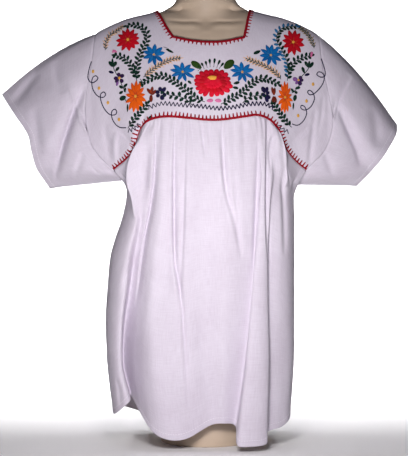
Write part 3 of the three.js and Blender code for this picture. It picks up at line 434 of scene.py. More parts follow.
# Small flowers and buds, by colour: each petal's foot x and z, tip x and z, and width
SMALL_PETALS = [
    ("purple", [
        (-150, 639, -152, 647, 7), (-149, 639, -142, 643, 7), (-152, 638, -160, 637, 7),
        (-151, 636, -157, 630, 7), (-148, 636, -144, 629, 7),
    ]),
    ("lilac", [(-152, 633, -155, 624, 4.5)]),
    ("purple", [(161, 636, 166, 641, 7), (162, 634, 169, 635, 6), (161, 633, 164, 625, 8)]),
    ("lilac", [(159, 635, 150, 636, 8), (159, 633, 155, 627, 5)]),
    ("navy", [
        (-76, 609, -69, 618, 7), (-78, 611, -79, 619, 7), (-79, 609, -87, 611, 7), (-79, 606, -85, 602, 7),
        (-76, 605, -74, 596, 8), (-74, 607, -68, 603, 6), (101, 609, 96, 620, 8), (103, 610, 105, 620, 6),
        (103, 606, 108, 612, 6), (103, 605, 110, 600, 7), (102, 606, 105, 593, 7), (101, 608, 96, 604, 6),
    ]),
    ("maroon", [
        (-93, 606, -101, 617, 5.5), (-93, 607, -92, 620, 5.5), (-92, 605, -86, 614, 5),
        (-94, 606, -94, 593, 6.5),
    ]),
    ("rust", [(-93, 608, -96, 615, 2.6)]),
    ("maroon", [
        (116, 606, 113, 620, 5), (117, 606, 118, 619, 4.5), (116, 604, 114, 591, 6),
        (118, 604, 120, 593, 4.5),
    ]),
    ("rust", [(117, 606, 116, 614, 2)]),
    ("pink", [
        (-155, 684, -163, 688, 4.5), (-159, 686, -164, 684, 3.5), (183, 676, 185, 686, 6.5),
        (1, 594, 12, 595, 6.6), (15, 595, 26, 594, 6.8),
    ]),
    ("green", [
        (-162, 658, -169, 668, 6), (-161, 658, -156, 667, 6.5), (-162, 659, -163, 673, 4),
        (179, 657, 172, 668, 6), (180, 657, 187, 667, 6), (179, 658, 180, 669, 4),
    ]),
    ("navy", [(-160, 647, -169, 650, 5)]),
    ("green", [(-157, 650, -151, 657, 5.5), (171, 647, 167, 658, 5.5)]),
    ("navy", [(171, 643, 180, 646, 5)]),
    ("green", [
        (-143, 620, -136, 627, 5), (-144, 619, -150, 624, 5), (-143, 614, -150, 610, 5),
        (-141, 612, -139, 620, 4.5), (-138, 604, -149, 600, 9), (154, 619, 163, 622, 5),
        (153, 614, 158, 611, 5), (152, 612, 147, 619, 4.5), (152, 597, 155, 608, 6.5),
        (-135, 577, -135, 591, 3.2), (150, 582, 151, 594, 3.2),
    ]),
    ("olive", [(-8, 651, -25, 663, 11), (31, 651, 47, 665, 14)]),
    ("green", [
        (-56, 679, -69, 686, 4.2), (94, 684, 82, 678, 6), (47, 624, 57, 627, 5.5), (45, 618, 55, 616, 5),
        (-25, 624, -31, 629, 4.5), (-22, 617, -28, 614, 4.5), (-100, 562, -92, 570, 4),
    ]),
]
# Stitches like drops above the big flower: foot and tip
CROWN = [
    ((-8, 647), (-15, 657)), ((-3, 650), (-8, 661)), ((2, 652), (-1, 664)), ((7, 653), (6, 668)),
    ((13, 653), (15, 669)), ((18, 652), (24, 666)), ((22, 650), (30, 661)),
]
HEARTS = [("gold", (-150, 637.5), 2.4), ("gold", (160, 634.5), 1.8), ("teal", (-76, 608), 2.0)]

# Leafy stems from foot to tip: points, leaf length, leaf width, spacing, lean of the leaves, colours of
# the stem and of the leaves on its left and right
VINES = [
    ([(-119, 631), (-120, 645), (-118, 664), (-112, 684), (-103, 703), (-104, 717), (-112, 728),
      (-126, 733), (-138, 732)],
     8.2, 4.8, 7.5, 50, "teal", "green", "green"),
    ([(-119, 631), (-124, 648), (-134, 665), (-146, 675), (-157, 678)],
     8.0, 4.7, 7.3, 52, "teal", "green", "green"),
    ([(-2, 592), (-20, 600), (-40, 618), (-60, 632), (-80, 639), (-98, 633), (-109, 627)],
     8.3, 5.0, 7.5, 52, "teal", "green", "green"),
    ([(-24, 587), (-33, 596), (-47, 602), (-62, 604), (-71, 608)],
     8.0, 5.6, 10.2, 54, "teal", "green", "green"),
    ([(-134, 549), (-124, 563), (-112, 577), (-101, 590)], 8.0, 4.9, 7.3, 46, "teal", "green", "green"),
    ([(140, 632), (142, 650), (139, 670), (130, 689), (123, 703), (125, 718), (137, 729), (159, 732)],
     8.2, 4.8, 7.5, 50, "teal", "azure", "green"),
    ([(140, 632), (143, 648), (152, 664), (166, 674), (182, 679)],
     8.0, 4.8, 7.5, 52, "teal", "green", "green"),
    ([(25, 588), (44, 599), (62, 609), (78, 625), (94, 634), (110, 632), (124, 625)],
     8.3, 5.0, 7.5, 52, "teal", "green", "green"),
    ([(62, 590), (69, 598), (80, 603), (96, 604)], 8.0, 5.6, 9.8, 54, "teal", "green", "green"),
    ([(147, 551), (140, 558), (130, 570), (122, 581), (116, 590)],
     8.0, 4.9, 7.3, 46, "teal", "green", "green"),
]
# Ferns: points, leaflet length, width, spacing, lean, and colours of stem, outer leaflets and inner ones
FERNS = [
    ([(-176, 688), (-175, 702), (-168, 716), (-156, 723), (-148, 729)], 8.0, 1.9, 5.4, 44, "teal", "peach"),
    ([(-108, 637), (-97, 646), (-80, 658), (-60, 667), (-48, 669)], 9.5, 1.9, 5.6, 42, "teal", "peach"),
    ([(129, 634), (119, 646), (104, 656), (88, 662), (72, 668)], 9.5, 2.0, 5.6, 42, "teal", "peach"),
    ([(189, 692), (184, 708), (176, 721), (166, 729)], 8.0, 1.9, 5.4, 44, "teal", "tan"),
]
# Plain stitched lines: colour, points and thread width
LINES = [
    ("navy", [(-200, 669), (-204, 655), (-206, 641), (-203, 634), (-198, 631), (-191, 634), (-188, 639),
              (-192, 643), (-197, 640), (-199, 632), (-197, 620), (-191, 610), (-184, 605), (-177, 605),
              (-174, 610), (-178, 614), (-183, 609), (-182, 598), (-177, 586), (-170, 577), (-163, 573),
              (-156, 574), (-154, 579), (-158, 583), (-163, 578), (-162, 567), (-156, 557), (-148, 551),
              (-137, 550)], 2.0),
    ("navy", [(201, 674), (205, 662), (208, 649), (206, 642), (199, 641), (193, 645), (196, 650),
              (203, 648), (206, 640), (203, 629), (195, 618), (187, 611), (180, 609), (176, 613),
              (179, 617), (185, 613), (188, 603), (184, 592), (178, 585), (170, 582), (164, 585),
              (165, 590), (171, 587), (174, 577),
              (170, 566), (163, 558), (156, 555), (148, 557)], 2.0),
    ("teal", [(-161, 660), (-159, 652), (-154, 643)], 1.6),
    ("teal", [(180, 659), (175, 651), (165, 640)], 1.6),
    ("teal", [(-148, 631), (-143, 620), (-138, 612)], 1.6),
    ("teal", [(163, 628), (156, 618), (148, 611)], 1.6),
    ("teal", [(-141, 602), (-136, 594)], 1.6),
    ("teal", [(-73, 690), (-66, 687), (-59, 681)], 1.0),
    ("teal", [(-25, 588), (-10, 583)], 1.0),
    ("teal", [(-14, 646), (-9, 652)], 1.0),
    ("teal", [(-109, 628), (-113, 634)], 1.6),
]
# The dark zigzag: points of its middle line, pitch and half height
ZIGZAGS = [
    ([(-99, 583), (-87, 587), (-73, 590), (-53, 588), (-27, 586), (-4, 584), (20, 581), (46, 583), (69, 588),
      (89, 590), (104, 589), (115, 583)], 6.9, 3.6),
    ([(-134, 545), (-124, 547), (-113, 556)], 6.5, 3.4),
    ([(124, 555), (132, 546), (142, 543)], 6.5, 3.4),
]
DOTS = [(-197, 651), (-186, 621), (-170, 595), (-150, 565), (186, 628), (174, 598), (159, 572)]


def hermite(knots, values, t):
    """A smooth curve through values at rising knots, held level beyond them.

    A knot or a value may be a number or an array like t."""
    t = np.clip(np.asarray(t, float), knots[0], knots[-1])
    last = len(knots) - 1

    def slope(i):
        before, after = max(i - 1, 0), min(i + 1, last)
        return (values[after] - values[before]) / (knots[after] - knots[before])

    result = values[0] + 0 * t
    for i in range(last):
        width = knots[i + 1] - knots[i]
        s = np.clip((t - knots[i]) / width, 0, 1)
        a, b, c = 2 * s**3 - 3 * s**2 + 1, s**3 - 2 * s**2 + s, s**3 - s**2
        piece = a * values[i] + b * width * slope(i) + (1 - a) * values[i + 1] + c * width * slope(i + 1)
        result = np.where(t >= knots[i], piece, result)
    return result


def through(rows):
    """The smooth curve through (knot, value) rows, as a function."""
    knots, values = zip(*rows)
    return lambda t: hermite(knots, values, t)


def smoothstep(t, low, high):
    s = np.clip((np.asarray(t, float) - low) / (high - low), 0, 1)
    return s * s * (3 - 2 * s)


def lerp(a, b, share):
    return a + (b - a) * share


def unit(v):
    return v / np.maximum(np.linalg.norm(v, axis=-1, keepdims=True), 1e-9)


def run_along(points):
    """Length along lines of points, from the first point on, down the first axis."""
    steps = np.linalg.norm(np.diff(points, axis=0), axis=-1)
    return np.concatenate([0 * steps[:1], np.cumsum(steps, axis=0)])


def read_along(at, run, values):
    """The values of a line's points, read at lengths along it."""
    return np.stack([np.interp(at, run, column) for column in values.T], -1)


def headings(points, closed=False):
    """From each point's neighbour before it to the one after it, down the first axis."""
    if closed:
        return np.roll(points, -1, axis=0) - np.roll(points, 1, axis=0)
    ways = np.empty_like(points)
    ways[1:-1] = points[2:] - points[:-2]
    ways[0], ways[-1] = points[1] - points[0], points[-1] - points[-2]
    return ways


shoulder_z = through(SHOULDER_LINE)


def cloth_depth(face, out, drop):
    """How far the cloth stands off the shoulder line, at a distance out and a drop below it."""
    drops = [row[0] for row in DEPTH_ROWS[face]]
    depths = zip(*(row[1] for row in DEPTH_ROWS[face]))
    columns = [hermite(drops, column, drop) for column in depths]
    return hermite(DEPTH_COLUMNS, columns, out)


def cloth_point(face, x, drop):
    """Points on the upper garment seen at x and a drop below the shoulder line."""
    x, drop = np.broadcast_arrays(np.asarray(x, float), np.asarray(drop, float))
    out = np.abs(x)
    return np.stack([x, TOWARDS[face] * cloth_depth(face, out, drop), shoulder_z(out) - drop], -1)


def curve_through(points):
    """A Catmull-Rom curve through points, as a function of the share of its length."""
    p = np.asarray(points, float)
    n = len(p)
    u = np.linspace(0, n - 1, 60 * (n - 1) + 1)
    i = np.minimum(u.astype(int), n - 2)
    s = (u - i)[:, None]
    p0, p1, p2, p3 = p[np.maximum(i - 1, 0)], p[i], p[i + 1], p[np.minimum(i + 2, n - 1)]
    dense = 0.5 * (
        2 * p1 + (p2 - p0) * s + (2 * p0 - 5 * p1 + 4 * p2 - p3) * s**2 + (3 * p1 - p0 - 3 * p2 + p3) * s**3
    )
    run = run_along(dense)

    def at(share):
        return read_along(np.clip(np.asarray(share, float), 0, 1) * run[-1], run, dense)

    at.length = run[-1]
    return at


def drop_curve(points):
    """The curve through (x, z) points, given as (x, drop)."""
    return curve_through([(x, max(0.0, float(shoulder_z(abs(x))) - z)) for x, z in points])


def seam_at(face, place):
    """(x, drop) on the yoke seam, by place from -1 to 1."""
    place = np.asarray(place, float)
    x = np.where(place < 0, -place * SEAM_ENDS["left"], place * SEAM_ENDS["right"])
    return x, shoulder_z(np.abs(x)) - through(YOKE_SEAM[face])(x)


def underarm_point(side, face, share):
    """Points on the edge under the arm, from the end of the yoke seam (0) to the side seam (1)."""
    x, drop = seam_at(face, -1 if side == "left" else 1)
    start = cloth_point(face, x, drop)
    low_x, low_z = UNDERARM[side]
    turn = np.asarray(share, float) * math.pi / 2
    return np.stack([
        lerp(start[0], low_x, np.sin(turn)),
        start[1] * np.maximum(np.cos(turn), 0) ** UNDERARM_POWER,
        lerp(start[2], low_z, np.sin(turn)),
    ], -1)


def panel_top(face, place):
    """Points on a body panel's top edge by place: the seam within -1 to 1, the underarms outside."""
    place = np.asarray(place, float)
    past = np.clip(np.abs(place) - 1, 0, 1)
    x, drop = seam_at(face, np.clip(place, -1, 1))
    sewn = cloth_point(face, x, drop)
    under = np.where(
        (place < 0)[:, None], underarm_point("left", face, past), underarm_point("right", face, past)
    )
    return np.where((past > 0)[:, None], under, sewn)


def fold_places(face):
    """Fold numbers of a panel's columns, and their places on its top edge."""
    last = len(FOLD_ROWS[face]) - 1
    columns = np.linspace(0, last, last * COLUMNS_PER_FOLD + 1)
    return columns, np.interp(columns, range(last + 1), [row[0] for row in FOLD_ROWS[face]])


def graded(count, near, far, length):
    """Shares of a length: at the near and far distances in mm from its ends, and evenly between."""
    first, last = near[-1] / length, 1 - far[0] / length
    even = np.linspace(first, last, count)[1:-1]
    return np.concatenate([np.array(near) / length, even, 1 - np.array(far) / length])


def gather_depth(face, x, below):
    """How deep the gathers press in, at a distance below the seam."""
    total = 0 * x
    for place, drift, reach, depth, half in GATHERS[face]:
        centre = float(seam_at(face, place)[0]) + drift * below / reach
        grow = np.minimum(1, below / GATHER_START) * np.clip(1 - below / reach, 0, 1)
        total = total + depth * np.exp(-(((x - centre) / half) ** 2)) * np.clip(grow, 0, 1)
    return total


def panel_grid(face):
    """A body panel: rows from its top edge to the hem, columns from the left side seam to the right."""
    fold, place = fold_places(face)
    section = {
        key: through([(row[0], row[i + 1]) for row in BODY_SECTIONS])
        for i, key in enumerate(["left", "right", "front", "back"])
    }
    at = {
        key: through([(n, row[i]) for n, row in enumerate(FOLD_ROWS[face])])(fold)
        for i, key in enumerate(FOLD_KEYS)
    }
    top = panel_top(face, place)
    top_x, top_z = top[:, 0], top[:, 2]

    def body_point(across, z, out):
        width = np.where(across < 0, section["left"](z), section["right"](z))
        full = np.maximum(0, 1 - np.abs(across) ** SECTION_POWER) ** (1 / SECTION_POWER)
        return np.stack([across * width, TOWARDS[face] * (section[face](z) * full + out), z + 0 * across], -1)

    half = np.where(top_x < 0, section["left"](top_z), section["right"](top_z))
    top_across = np.where(np.abs(place) > 1, at["knee"], np.clip(top_x / half, -TOP_SHARE, TOP_SHARE))
    ease_height = lerp(SEAM_EASE, CORNER_EASE, smoothstep(np.abs(place), 0.7, 1))
    offset = top - body_point(top_across, top_z, 0 * top_x)
    shares = graded(PANEL_ROWS, SEAM_ROWS_AT, HEM_ROWS_AT, PANEL_LENGTH)
    z = lerp(top_z[None], at["hem_z"][None], shares[:, None])
    knots = [at["hem_z"], LOW_Z + 0 * top_z, KNEE_Z + 0 * top_z, top_z]
    across = hermite(knots, [at["hem"], at["low"], at["knee"], top_across], z)
    out = hermite(knots, [at["hem_out"], at["low_out"], at["knee_out"], 0 * top_z], z)
    ease = 1 - smoothstep((top_z - z) / ease_height, 0, 1)
    grid = body_point(across, z, out) + offset * ease[..., None]
    grid[..., 1] -= TOWARDS[face] * gather_depth(face, grid[..., 0], top_z - z)
    return grid


def yoke_lines(face):
    """(x, drop) on the neck, (x, drop) on the outer edge, and the bow, from the left shoulder round."""
    curves = {part: drop_curve(points) for part, points in NECK[face].items()}
    steps = np.linspace(0, 1, ARMHOLE_STEPS + 1)
    down, along = steps**ARMHOLE_GRADING, steps**NECK_GRADING
    place = fold_places(face)[1]
    place = place[np.abs(place) < 1]
    inner = [curves["left"](along), curves["across"]((place + 1) / 2), curves["right"](1 - along)[::-1]]
    sewn = np.stack(seam_at(face, place), -1)
    outer = [drop_curve(ARMHOLE["left"])(down), sewn, drop_curve(ARMHOLE["right"])(down)[::-1]]
    bow = np.concatenate([-down, np.sign(place) * smoothstep(np.abs(place), 0.3, 0.8), down[::-1]])
    return np.concatenate(inner), np.concatenate(outer), bow


def yoke_grid():
    """The yoke: rows from the neck outwards, columns round it from the left shoulder."""
    rows = graded(YOKE_ROWS, NECK_ROWS_AT, SEAM_ROWS_AT[::-1], YOKE_LENGTH)[:, None]
    faces = []
    for face in ("front", "back"):
        inner, outer, bow = yoke_lines(face)
        x = lerp(inner[:, 0], outer[:, 0], rows) + 2 * rows * (1 - rows) * bow * YOKE_BOW
        faces.append(cloth_point(face, x, lerp(inner[:, 1], outer[:, 1], rows)))
    front, back = faces
    return np.concatenate([front, back[:, ::-1][:, 1:-1]], axis=1)


def sleeve_half(side, face):
    """Points from the top fold of the armhole to the side seam, their shares down, and the cuff's."""
    steps = np.linspace(0, 1, ARMHOLE_STEPS + 1)
    ring = drop_curve(ARMHOLE[side])(steps**ARMHOLE_GRADING)
    place = fold_places(face)[1]
    under = place[place < -1][::-1] if side == "left" else place[place > 1]
    points = np.concatenate([cloth_point(face, ring[:, 0], ring[:, 1]), panel_top(face, under)])
    run = run_along(points)
    down = run / run[-1]
    depth = 2 if face == "front" else 3
    edge = curve_through([(row[0], TOWARDS[face] * row[depth], row[1]) for row in CUFF[side]])(down)
    return points, down, edge


def sleeve_grid(side):
    """A sleeve: rows from the armhole to the cuff, columns round it from the top fold."""
    share = graded(SLEEVE_ROWS, SEAM_ROWS_AT, HEM_ROWS_AT, SLEEVE_LENGTH)[:, None]
    swell = 4 * share * (1 - share)
    grown = np.sin(math.pi / 2 * np.minimum(1, 2 * share)) * (1 - 0.4 * share)
    top_bulge, side_bulge = SLEEVE_BULGE[side]
    halves = []
    for face in ("front", "back"):
        points, down, edge = sleeve_half(side, face)
        grid = lerp(points[None], edge[None], share[..., None])
        grid[..., 2] += top_bulge * swell * np.maximum(0, 1 - 3 * down) ** 2
        fold = 0
        for start, end, depth, half in SLEEVE_FOLDS[side, face]:
            fold = fold + depth * np.exp(-(((down - lerp(start, end, share)) / half) ** 2)) * grown
        grid[..., 1] += TOWARDS[face] * (side_bulge * swell * np.sin(math.pi * down) - fold)
        halves.append(grid)
    front, back = halves
    first, second = (front, back) if side == "left" else (back, front)
    return np.concatenate([first, second[:, ::-1][:, 1:-1]], axis=1)


def grid_normals(grid, closed):
    """Outward direction at each point of a grid."""
    along = headings(grid.swapaxes(0, 1), closed).swapaxes(0, 1)
    return unit(np.cross(headings(grid), along))


def rim_points(grid, closed):
    """Row and column of every point on the free edges of a grid."""
    rows, columns = grid.shape[:2]
    rim = [(r, c) for r in (0, rows - 1) for c in range(columns)]
    if not closed:
        rim += [(r, c) for r in range(1, rows - 1) for c in (0, columns - 1)]
    return rim


def share_normals(pieces):
    """Gives pieces that meet one direction at each seam point, so that the seam stays closed."""
    sums, rims = {}, []
    for grid, normals, closed in pieces.values():
        for r, c in rim_points(grid, closed):
            key = tuple(np.round(grid[r, c] * MATCHES_PER_MM).astype(int))
            sums[key] = sums.get(key, 0) + normals[r, c]
            rims.append((normals, r, c, key))
    for normals, r, c, key in rims:
        normals[r, c] = unit(sums[key])


def line_relief(places, depth, half, lean, x, z):
    """How deep a line of (x, z) places presses in at (x, z): full along its middle, nothing at its ends.

    A lean over 1 makes the side to the right of a falling line gentler, and the other steeper."""
    line = curve_through(places)(np.linspace(0, 1, 25))
    best, side, along = (np.full(np.shape(x), start) for start in (1e9, 1.0, 0.0))
    for i, (start, end) in enumerate(zip(line[:-1], line[1:])):
        step = end - start
        off_x, off_z = x - start[0], z - start[1]
        s = np.clip((off_x * step[0] + off_z * step[1]) / (step @ step), 0, 1)
        gap = np.hypot(off_x - s * step[0], off_z - s * step[1])
        nearer = gap < best
        along = np.where(nearer, (i + s) / (len(line) - 1), along)
        side = np.where(nearer, np.sign(step[0] * off_z - step[1] * off_x), side)
        best = np.minimum(gap, best)
    width = half * np.where(side > 0, lean, 1 / lean)
    taper = np.sin(math.pi * np.clip(along, 0, 1)) ** 0.6
    return depth * taper * np.exp(-((best / width) ** 2))


def crease_relief(group, face, x, z):
    """How deep the creases of a group of pieces press in at (x, z)."""
    total = np.zeros(np.shape(x))
    for (groups, crossed), creases in CREASES.items():
        if group in groups and face == crossed:
            total += sum(line_relief(*crease, x, z) for crease in creases)
    return total


def lap_over(grid):
    """Moves the front panel's cloth sideways and out along each lap, so that it folds over itself."""
    below = smoothstep(run_along(grid), 0.5, 7)
    x, z = grid[..., 0].copy(), grid[..., 2]
    for places, across, out, half in LAPS:
        share = below * line_relief(places, 1, half, 1, x, z)
        grid[..., 0] += across * share
        grid[..., 1] -= out * share


def pucker_relief(grid):
    """The fine uneven puckers where a panel is gathered on to its seam, which die out below it."""
    turn = 2 * math.pi * run_along(grid[0]) / PUCKER_PITCH
    wave = np.sin(turn + 1.6 * np.sin(turn / 8.3)) * (0.65 + 0.35 * np.sin(turn / 5.7))
    reach = PUCKER_REACH * (1 + 0.5 * np.sin(turn / 3.1) + 0.3 * np.sin(turn / 1.9))
    below = run_along(grid)
    return PUCKER_DEPTH * wave * np.exp(-below / reach) * smoothstep(below, 0.5, 5)


def shell_arrays(outer, inner, closed, uv):
    """Vertices, faces and face UVs of the closed shell between two grids of the same size.

    uv has a column more than the grids where they are closed."""
    rows, columns = outer.shape[:2]
    steps = columns if closed else columns - 1
    r, c = (i.ravel() for i in np.meshgrid(np.arange(rows - 1), np.arange(steps), indexing="ij"))
    span = uv.shape[1]
    count = rows * columns
    quads, places = [], []

    def add(points, layers):
        quads.append(np.stack([layer * count + row * columns + column % columns
                               for (row, column), layer in zip(points, layers)], -1))
        places.append(np.stack([row * span + column for row, column in points], -1))

    low, left = np.full(steps, rows - 1), np.arange(steps)
    add([(r, c), (r + 1, c), (r + 1, c + 1), (r, c + 1)], [0] * 4)
    add([(r, c), (r, c + 1), (r + 1, c + 1), (r + 1, c)], [1] * 4)
    top = 0 * left
    add([(top, left), (top, left + 1), (top, left + 1), (top, left)], [0, 0, 1, 1])
    add([(low, left + 1), (low, left), (low, left), (low, left + 1)], [0, 0, 1, 1])
    if not closed:
        down, first = np.arange(rows - 1), np.zeros(rows - 1, int)
        end = first + columns - 1
        add([(down + 1, first), (down, first), (down, first), (down + 1, first)], [0, 0, 1, 1])
        add([(down, end), (down + 1, end), (down + 1, end), (down, end)], [0, 0, 1, 1])
    faces = np.concatenate(quads)
    face_uv = uv.reshape(-1, 2)[np.concatenate(places)]
    return np.concatenate([outer.reshape(-1, 3), inner.reshape(-1, 3)]), faces, face_uv


def sweep_arrays(rings, closed, uv_along, uv_round):
    """Vertices, faces and UVs of rings of points swept along a line."""
    count, size = rings.shape[:2]
    steps = count if closed else count - 1
    i, k = (n.ravel() for n in np.meshgrid(np.arange(steps), np.arange(size), indexing="ij"))
    j, m = (i + 1) % count, (k + 1) % size
    faces = np.stack([i * size + k, j * size + k, j * size + m, i * size + m], -1)
    along = np.append(uv_along, uv_along[-1] + (uv_along[-1] - uv_along[-2]))
    around = np.linspace(0, uv_round, size + 1)
    face_uv = np.stack([
        np.stack([along[i], around[k]], -1), np.stack([along[i + 1], around[k]], -1),
        np.stack([along[i + 1], around[k + 1]], -1), np.stack([along[i], around[k + 1]], -1),
    ], 1)
    return rings.reshape(-1, 3), faces, face_uv


class Batch:
    """Collects the parts of one mesh, with a value at each point from 0, deep, to 1, light, that holds each
    stitch's own lightness and painted shade.
    """

    def __init__(self):
        self.vertices, self.faces, self.uv, self.tone, self.count = [], [], [], [], 0

    def add(self, arrays, tone=0.5, caps=()):
        vertices, faces, uv = arrays
        self.faces += (faces + self.count).tolist()
        self.uv.append(uv.reshape(-1, 2))
        for cap in caps:
            self.faces.append([self.count + k for k in cap])
            self.uv.append(np.zeros((len(cap), 2)))
        self.vertices.append(vertices)
        self.tone.append(np.broadcast_to(tone, len(vertices)))
        self.count += len(vertices)

    def sweep(self, rings, closed, at, around, tone=0.5):
        """Adds rings of points swept along a line, with flat caps where it is open."""
        count, size = rings.shape[:2]
        caps = [] if closed else [range(size), range(count * size - 1, (count - 1) * size - 1, -1)]
        self.add(sweep_arrays(rings, closed, at, around), tone, caps)

    def pad(self, base, out, crown, uv, tone, turned=False):
        """Adds a low pad: points on the cloth raised by a crown, over the same points sunk into it."""
        layers = [base + out * crown[..., None], base - out * STITCH_SINK, uv]
        outer, inner, uv = [layer[:, ::-1] for layer in layers] if turned else layers
        self.add(shell_arrays(outer, inner, False, uv), tone)

    def piece(self, name, material):
        """The Blender object of all that was collected, in metres."""
        mesh = bpy.data.meshes.new(name)
        mesh.from_pydata((np.concatenate(self.vertices) * MM).tolist(), [], self.faces)
        mesh.polygons.foreach_set("use_smooth", [True] * len(mesh.polygons))
        layer = mesh.uv_layers.new(name="UVMap")
        layer.data.foreach_set("uv", (np.concatenate(self.uv) * MM).ravel())
        # Per point: the stitch's own lightness, with painted shade towards the edges of padded shapes
        tone = mesh.attributes.new("tone", "FLOAT", "POINT")
        tone.data.foreach_set("value", np.concatenate(self.tone).astype(np.float32))
        mesh.validate()
        mesh.materials.append(material)
        made = bpy.data.objects.new(name, mesh)
        bpy.context.scene.collection.objects.link(made)
        return made


def finish_piece(piece, slot, *nodes):
    """Hangs the piece on the root body and hides the CAD nodes that it stands for; the slot is not used."""
    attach(piece, "root")
    if nodes:
        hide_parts(*nodes)
    return piece


def cloth_uv(grid, closed):
    """Distances in mm across and down the cloth, for the weave."""
    around = np.concatenate([grid, grid[:, :1]], axis=1) if closed else grid
    across = run_along(around[len(around) // 2])
    return np.stack(np.meshgrid(across, run_along(around).mean(axis=1)), -1)


@functools.cache
def blouse_cloth():
    """The five cut pieces: name -> (outer grid, outward directions, whether it is a ring)."""
    grids = {
        "yoke": (yoke_grid(), True),
        "front_panel": (panel_grid("front"), False),
        "back_panel": (panel_grid("back")[:, ::-1].copy(), False),
        "sleeve_left": (sleeve_grid("left"), True),
        "sleeve_right": (sleeve_grid("right"), True),
    }
    pieces = {}
    for name, (grid, closed) in grids.items():
        group = "panel" if "panel" in name else name.split("_")[0]
        in_front = grid[..., 1] <= 0
        for face, on_face in (("front", in_front), ("back", ~in_front)):
            relief = crease_relief(group, face, grid[..., 0], grid[..., 2])
            grid[..., 1] -= TOWARDS[face] * np.where(on_face, relief, 0)
        if group == "panel":
            grid[..., 1] -= TOWARDS[name.split("_")[0]] * pucker_relief(grid)
        if name == "front_panel":
            lap_over(grid)
        pieces[name] = [grid, grid_normals(grid, closed), closed]
    share_normals(pieces)
    for name, piece in pieces.items():
        grid, normals, closed = piece
        from_end = run_along(grid[::-1])[::-1]
        seam = from_end if name == "yoke" else run_along(grid)
        lift = -SEAM_DIP * np.exp(-((seam / SEAM_DIP_WIDTH) ** 2))
        if name != "yoke":
            turned = smoothstep(HEM_WIDTH - from_end, -HEM_STEP_WIDTH / 2, HEM_STEP_WIDTH / 2)
            stitched = np.exp(-(((from_end - HEM_WIDTH + HEM_STITCH_IN) / HEM_DIP_WIDTH) ** 2))
            lift = lift + HEM_STEP * turned - HEM_DIP * stitched
        piece[0] = grid + normals * lift[..., None]
    return pieces


def with_first(points, closed):
    """A line's points, with the first one again at the end where the line is closed."""
    return np.vstack([points, points[:1]]) if closed else points


def edge_frame(piece, row, deeper_row, columns, closed):
    """Evenly spaced places along a grid's edge row: length, point, and directions along, in and out."""
    grid, normals, _ = piece
    lines = grid[row, columns], grid[deeper_row, columns], normals[row, columns]
    edge, deeper, out = (with_first(line, closed) for line in lines)
    run = run_along(edge)
    at = np.linspace(0, run[-1], max(8, round(run[-1] / EDGING_STEP)) + 1)[:-1 if closed else None]
    point, inward, normal = (read_along(at, run, values) for values in (edge, deeper - edge, out))
    along, normal = unit(headings(point, closed)), unit(normal)
    normal = unit(normal - along * (normal * along).sum(-1, keepdims=True))
    side = np.cross(along, normal)
    side *= np.sign((side * inward).sum(-1, keepdims=True))
    return at, point, along, side, normal, run[-1]


def blanket_cord(batch, frame_at, closed, width):
    """The band of thread that a blanket stitch lays along the edge, each wrap a low ridge."""
    at, point, along, side, normal, _ = frame_at
    turn = np.linspace(0, 2 * math.pi, CORD_SIDES, endpoint=False)
    wrap = 1 + WRAP_RELIEF * np.cos(2 * math.pi * at / WRAP_PITCH)
    across = width / 2 * np.cos(turn)[None] * wrap[:, None] + width / 2 - CORD_OVERHANG
    up = CORD_HEIGHT / 2 * np.sin(turn)[None] * wrap[:, None] + CORD_HEIGHT / 2 - CORD_SINK
    rings = point[:, None] + side[:, None] * across[..., None] + normal[:, None] * up[..., None]
    if (np.cross(along[0], side[0]) @ normal[0]) > 0:
        rings = rings[:, ::-1]
    batch.sweep(rings, closed, at, 2 * width)


def cloth_surface(piece):
    """A function that lays points on a piece of cloth and gives the outward directions there."""
    grid, _, closed = piece
    rows, columns = grid.shape[:2]
    numbers = np.arange(rows * columns).reshape(rows, columns)
    right = np.roll(numbers, -1, axis=1)
    corners = np.stack([numbers[:-1], numbers[1:], right[1:], right[:-1]], -1)
    faces = corners[:, :columns if closed else columns - 1].reshape(-1, 4).tolist()
    tree = BVHTree.FromPolygons(grid.reshape(-1, 3).tolist(), faces)

    def lay(points):
        found = [tree.find_nearest(Vector(p)) for p in points.reshape(-1, 3).tolist()]
        return (np.array([hit[k] for hit in found]).reshape(points.shape) for k in (0, 1))

    return lay


def blanket_teeth(batch, frame_at, pitch, reach, surface, cord):
    """The arms of the blanket stitch, which run from the cord into the cloth."""
    at, point, along, side, normal, length = frame_at
    count = round(length / pitch)
    for n in range(count):
        place = (n + 0.5) * length / count
        odd = unevenness(n)
        i = int(np.argmin(np.abs(at - place)))
        start = point[i] + side[i] * (cord - CORD_OVERHANG - TOOTH_START)
        tip = point[i] + side[i] * (reach * (1 + 0.1 * odd)) + along[i] * odd * 0.8
        stitch(batch, start, tip, normal[i], surface, 0.55 + 0.3 * odd)


def stitch(batch, start, tip, normal, surface, tone, rows=9, columns=5):
    """A padded straight stitch laid on the cloth, broad at its foot and narrower at its tip."""
    v = np.linspace(0, 1, rows)[:, None]
    u = np.linspace(-1, 1, columns)[None]
    across = unit(np.cross(normal, tip - start))
    half = TOOTH_WIDTH / 2 * (1 - 0.45 * v) * np.minimum(1, 5 * (1.04 - v))
    flat = lerp(start, tip, v[..., None]) + across * (half * u)[..., None]
    base, out = surface(flat)
    crown = TOOTH_HEIGHT * np.sqrt(np.maximum(0, 1 - u**2)) * np.minimum(1, 4 * (1.05 - v)) ** 0.5
    uv = np.stack([half * u, v * np.linalg.norm(tip - start) + 0 * u], -1)
    batch.pad(base, out, crown, uv, tone, turned=True)


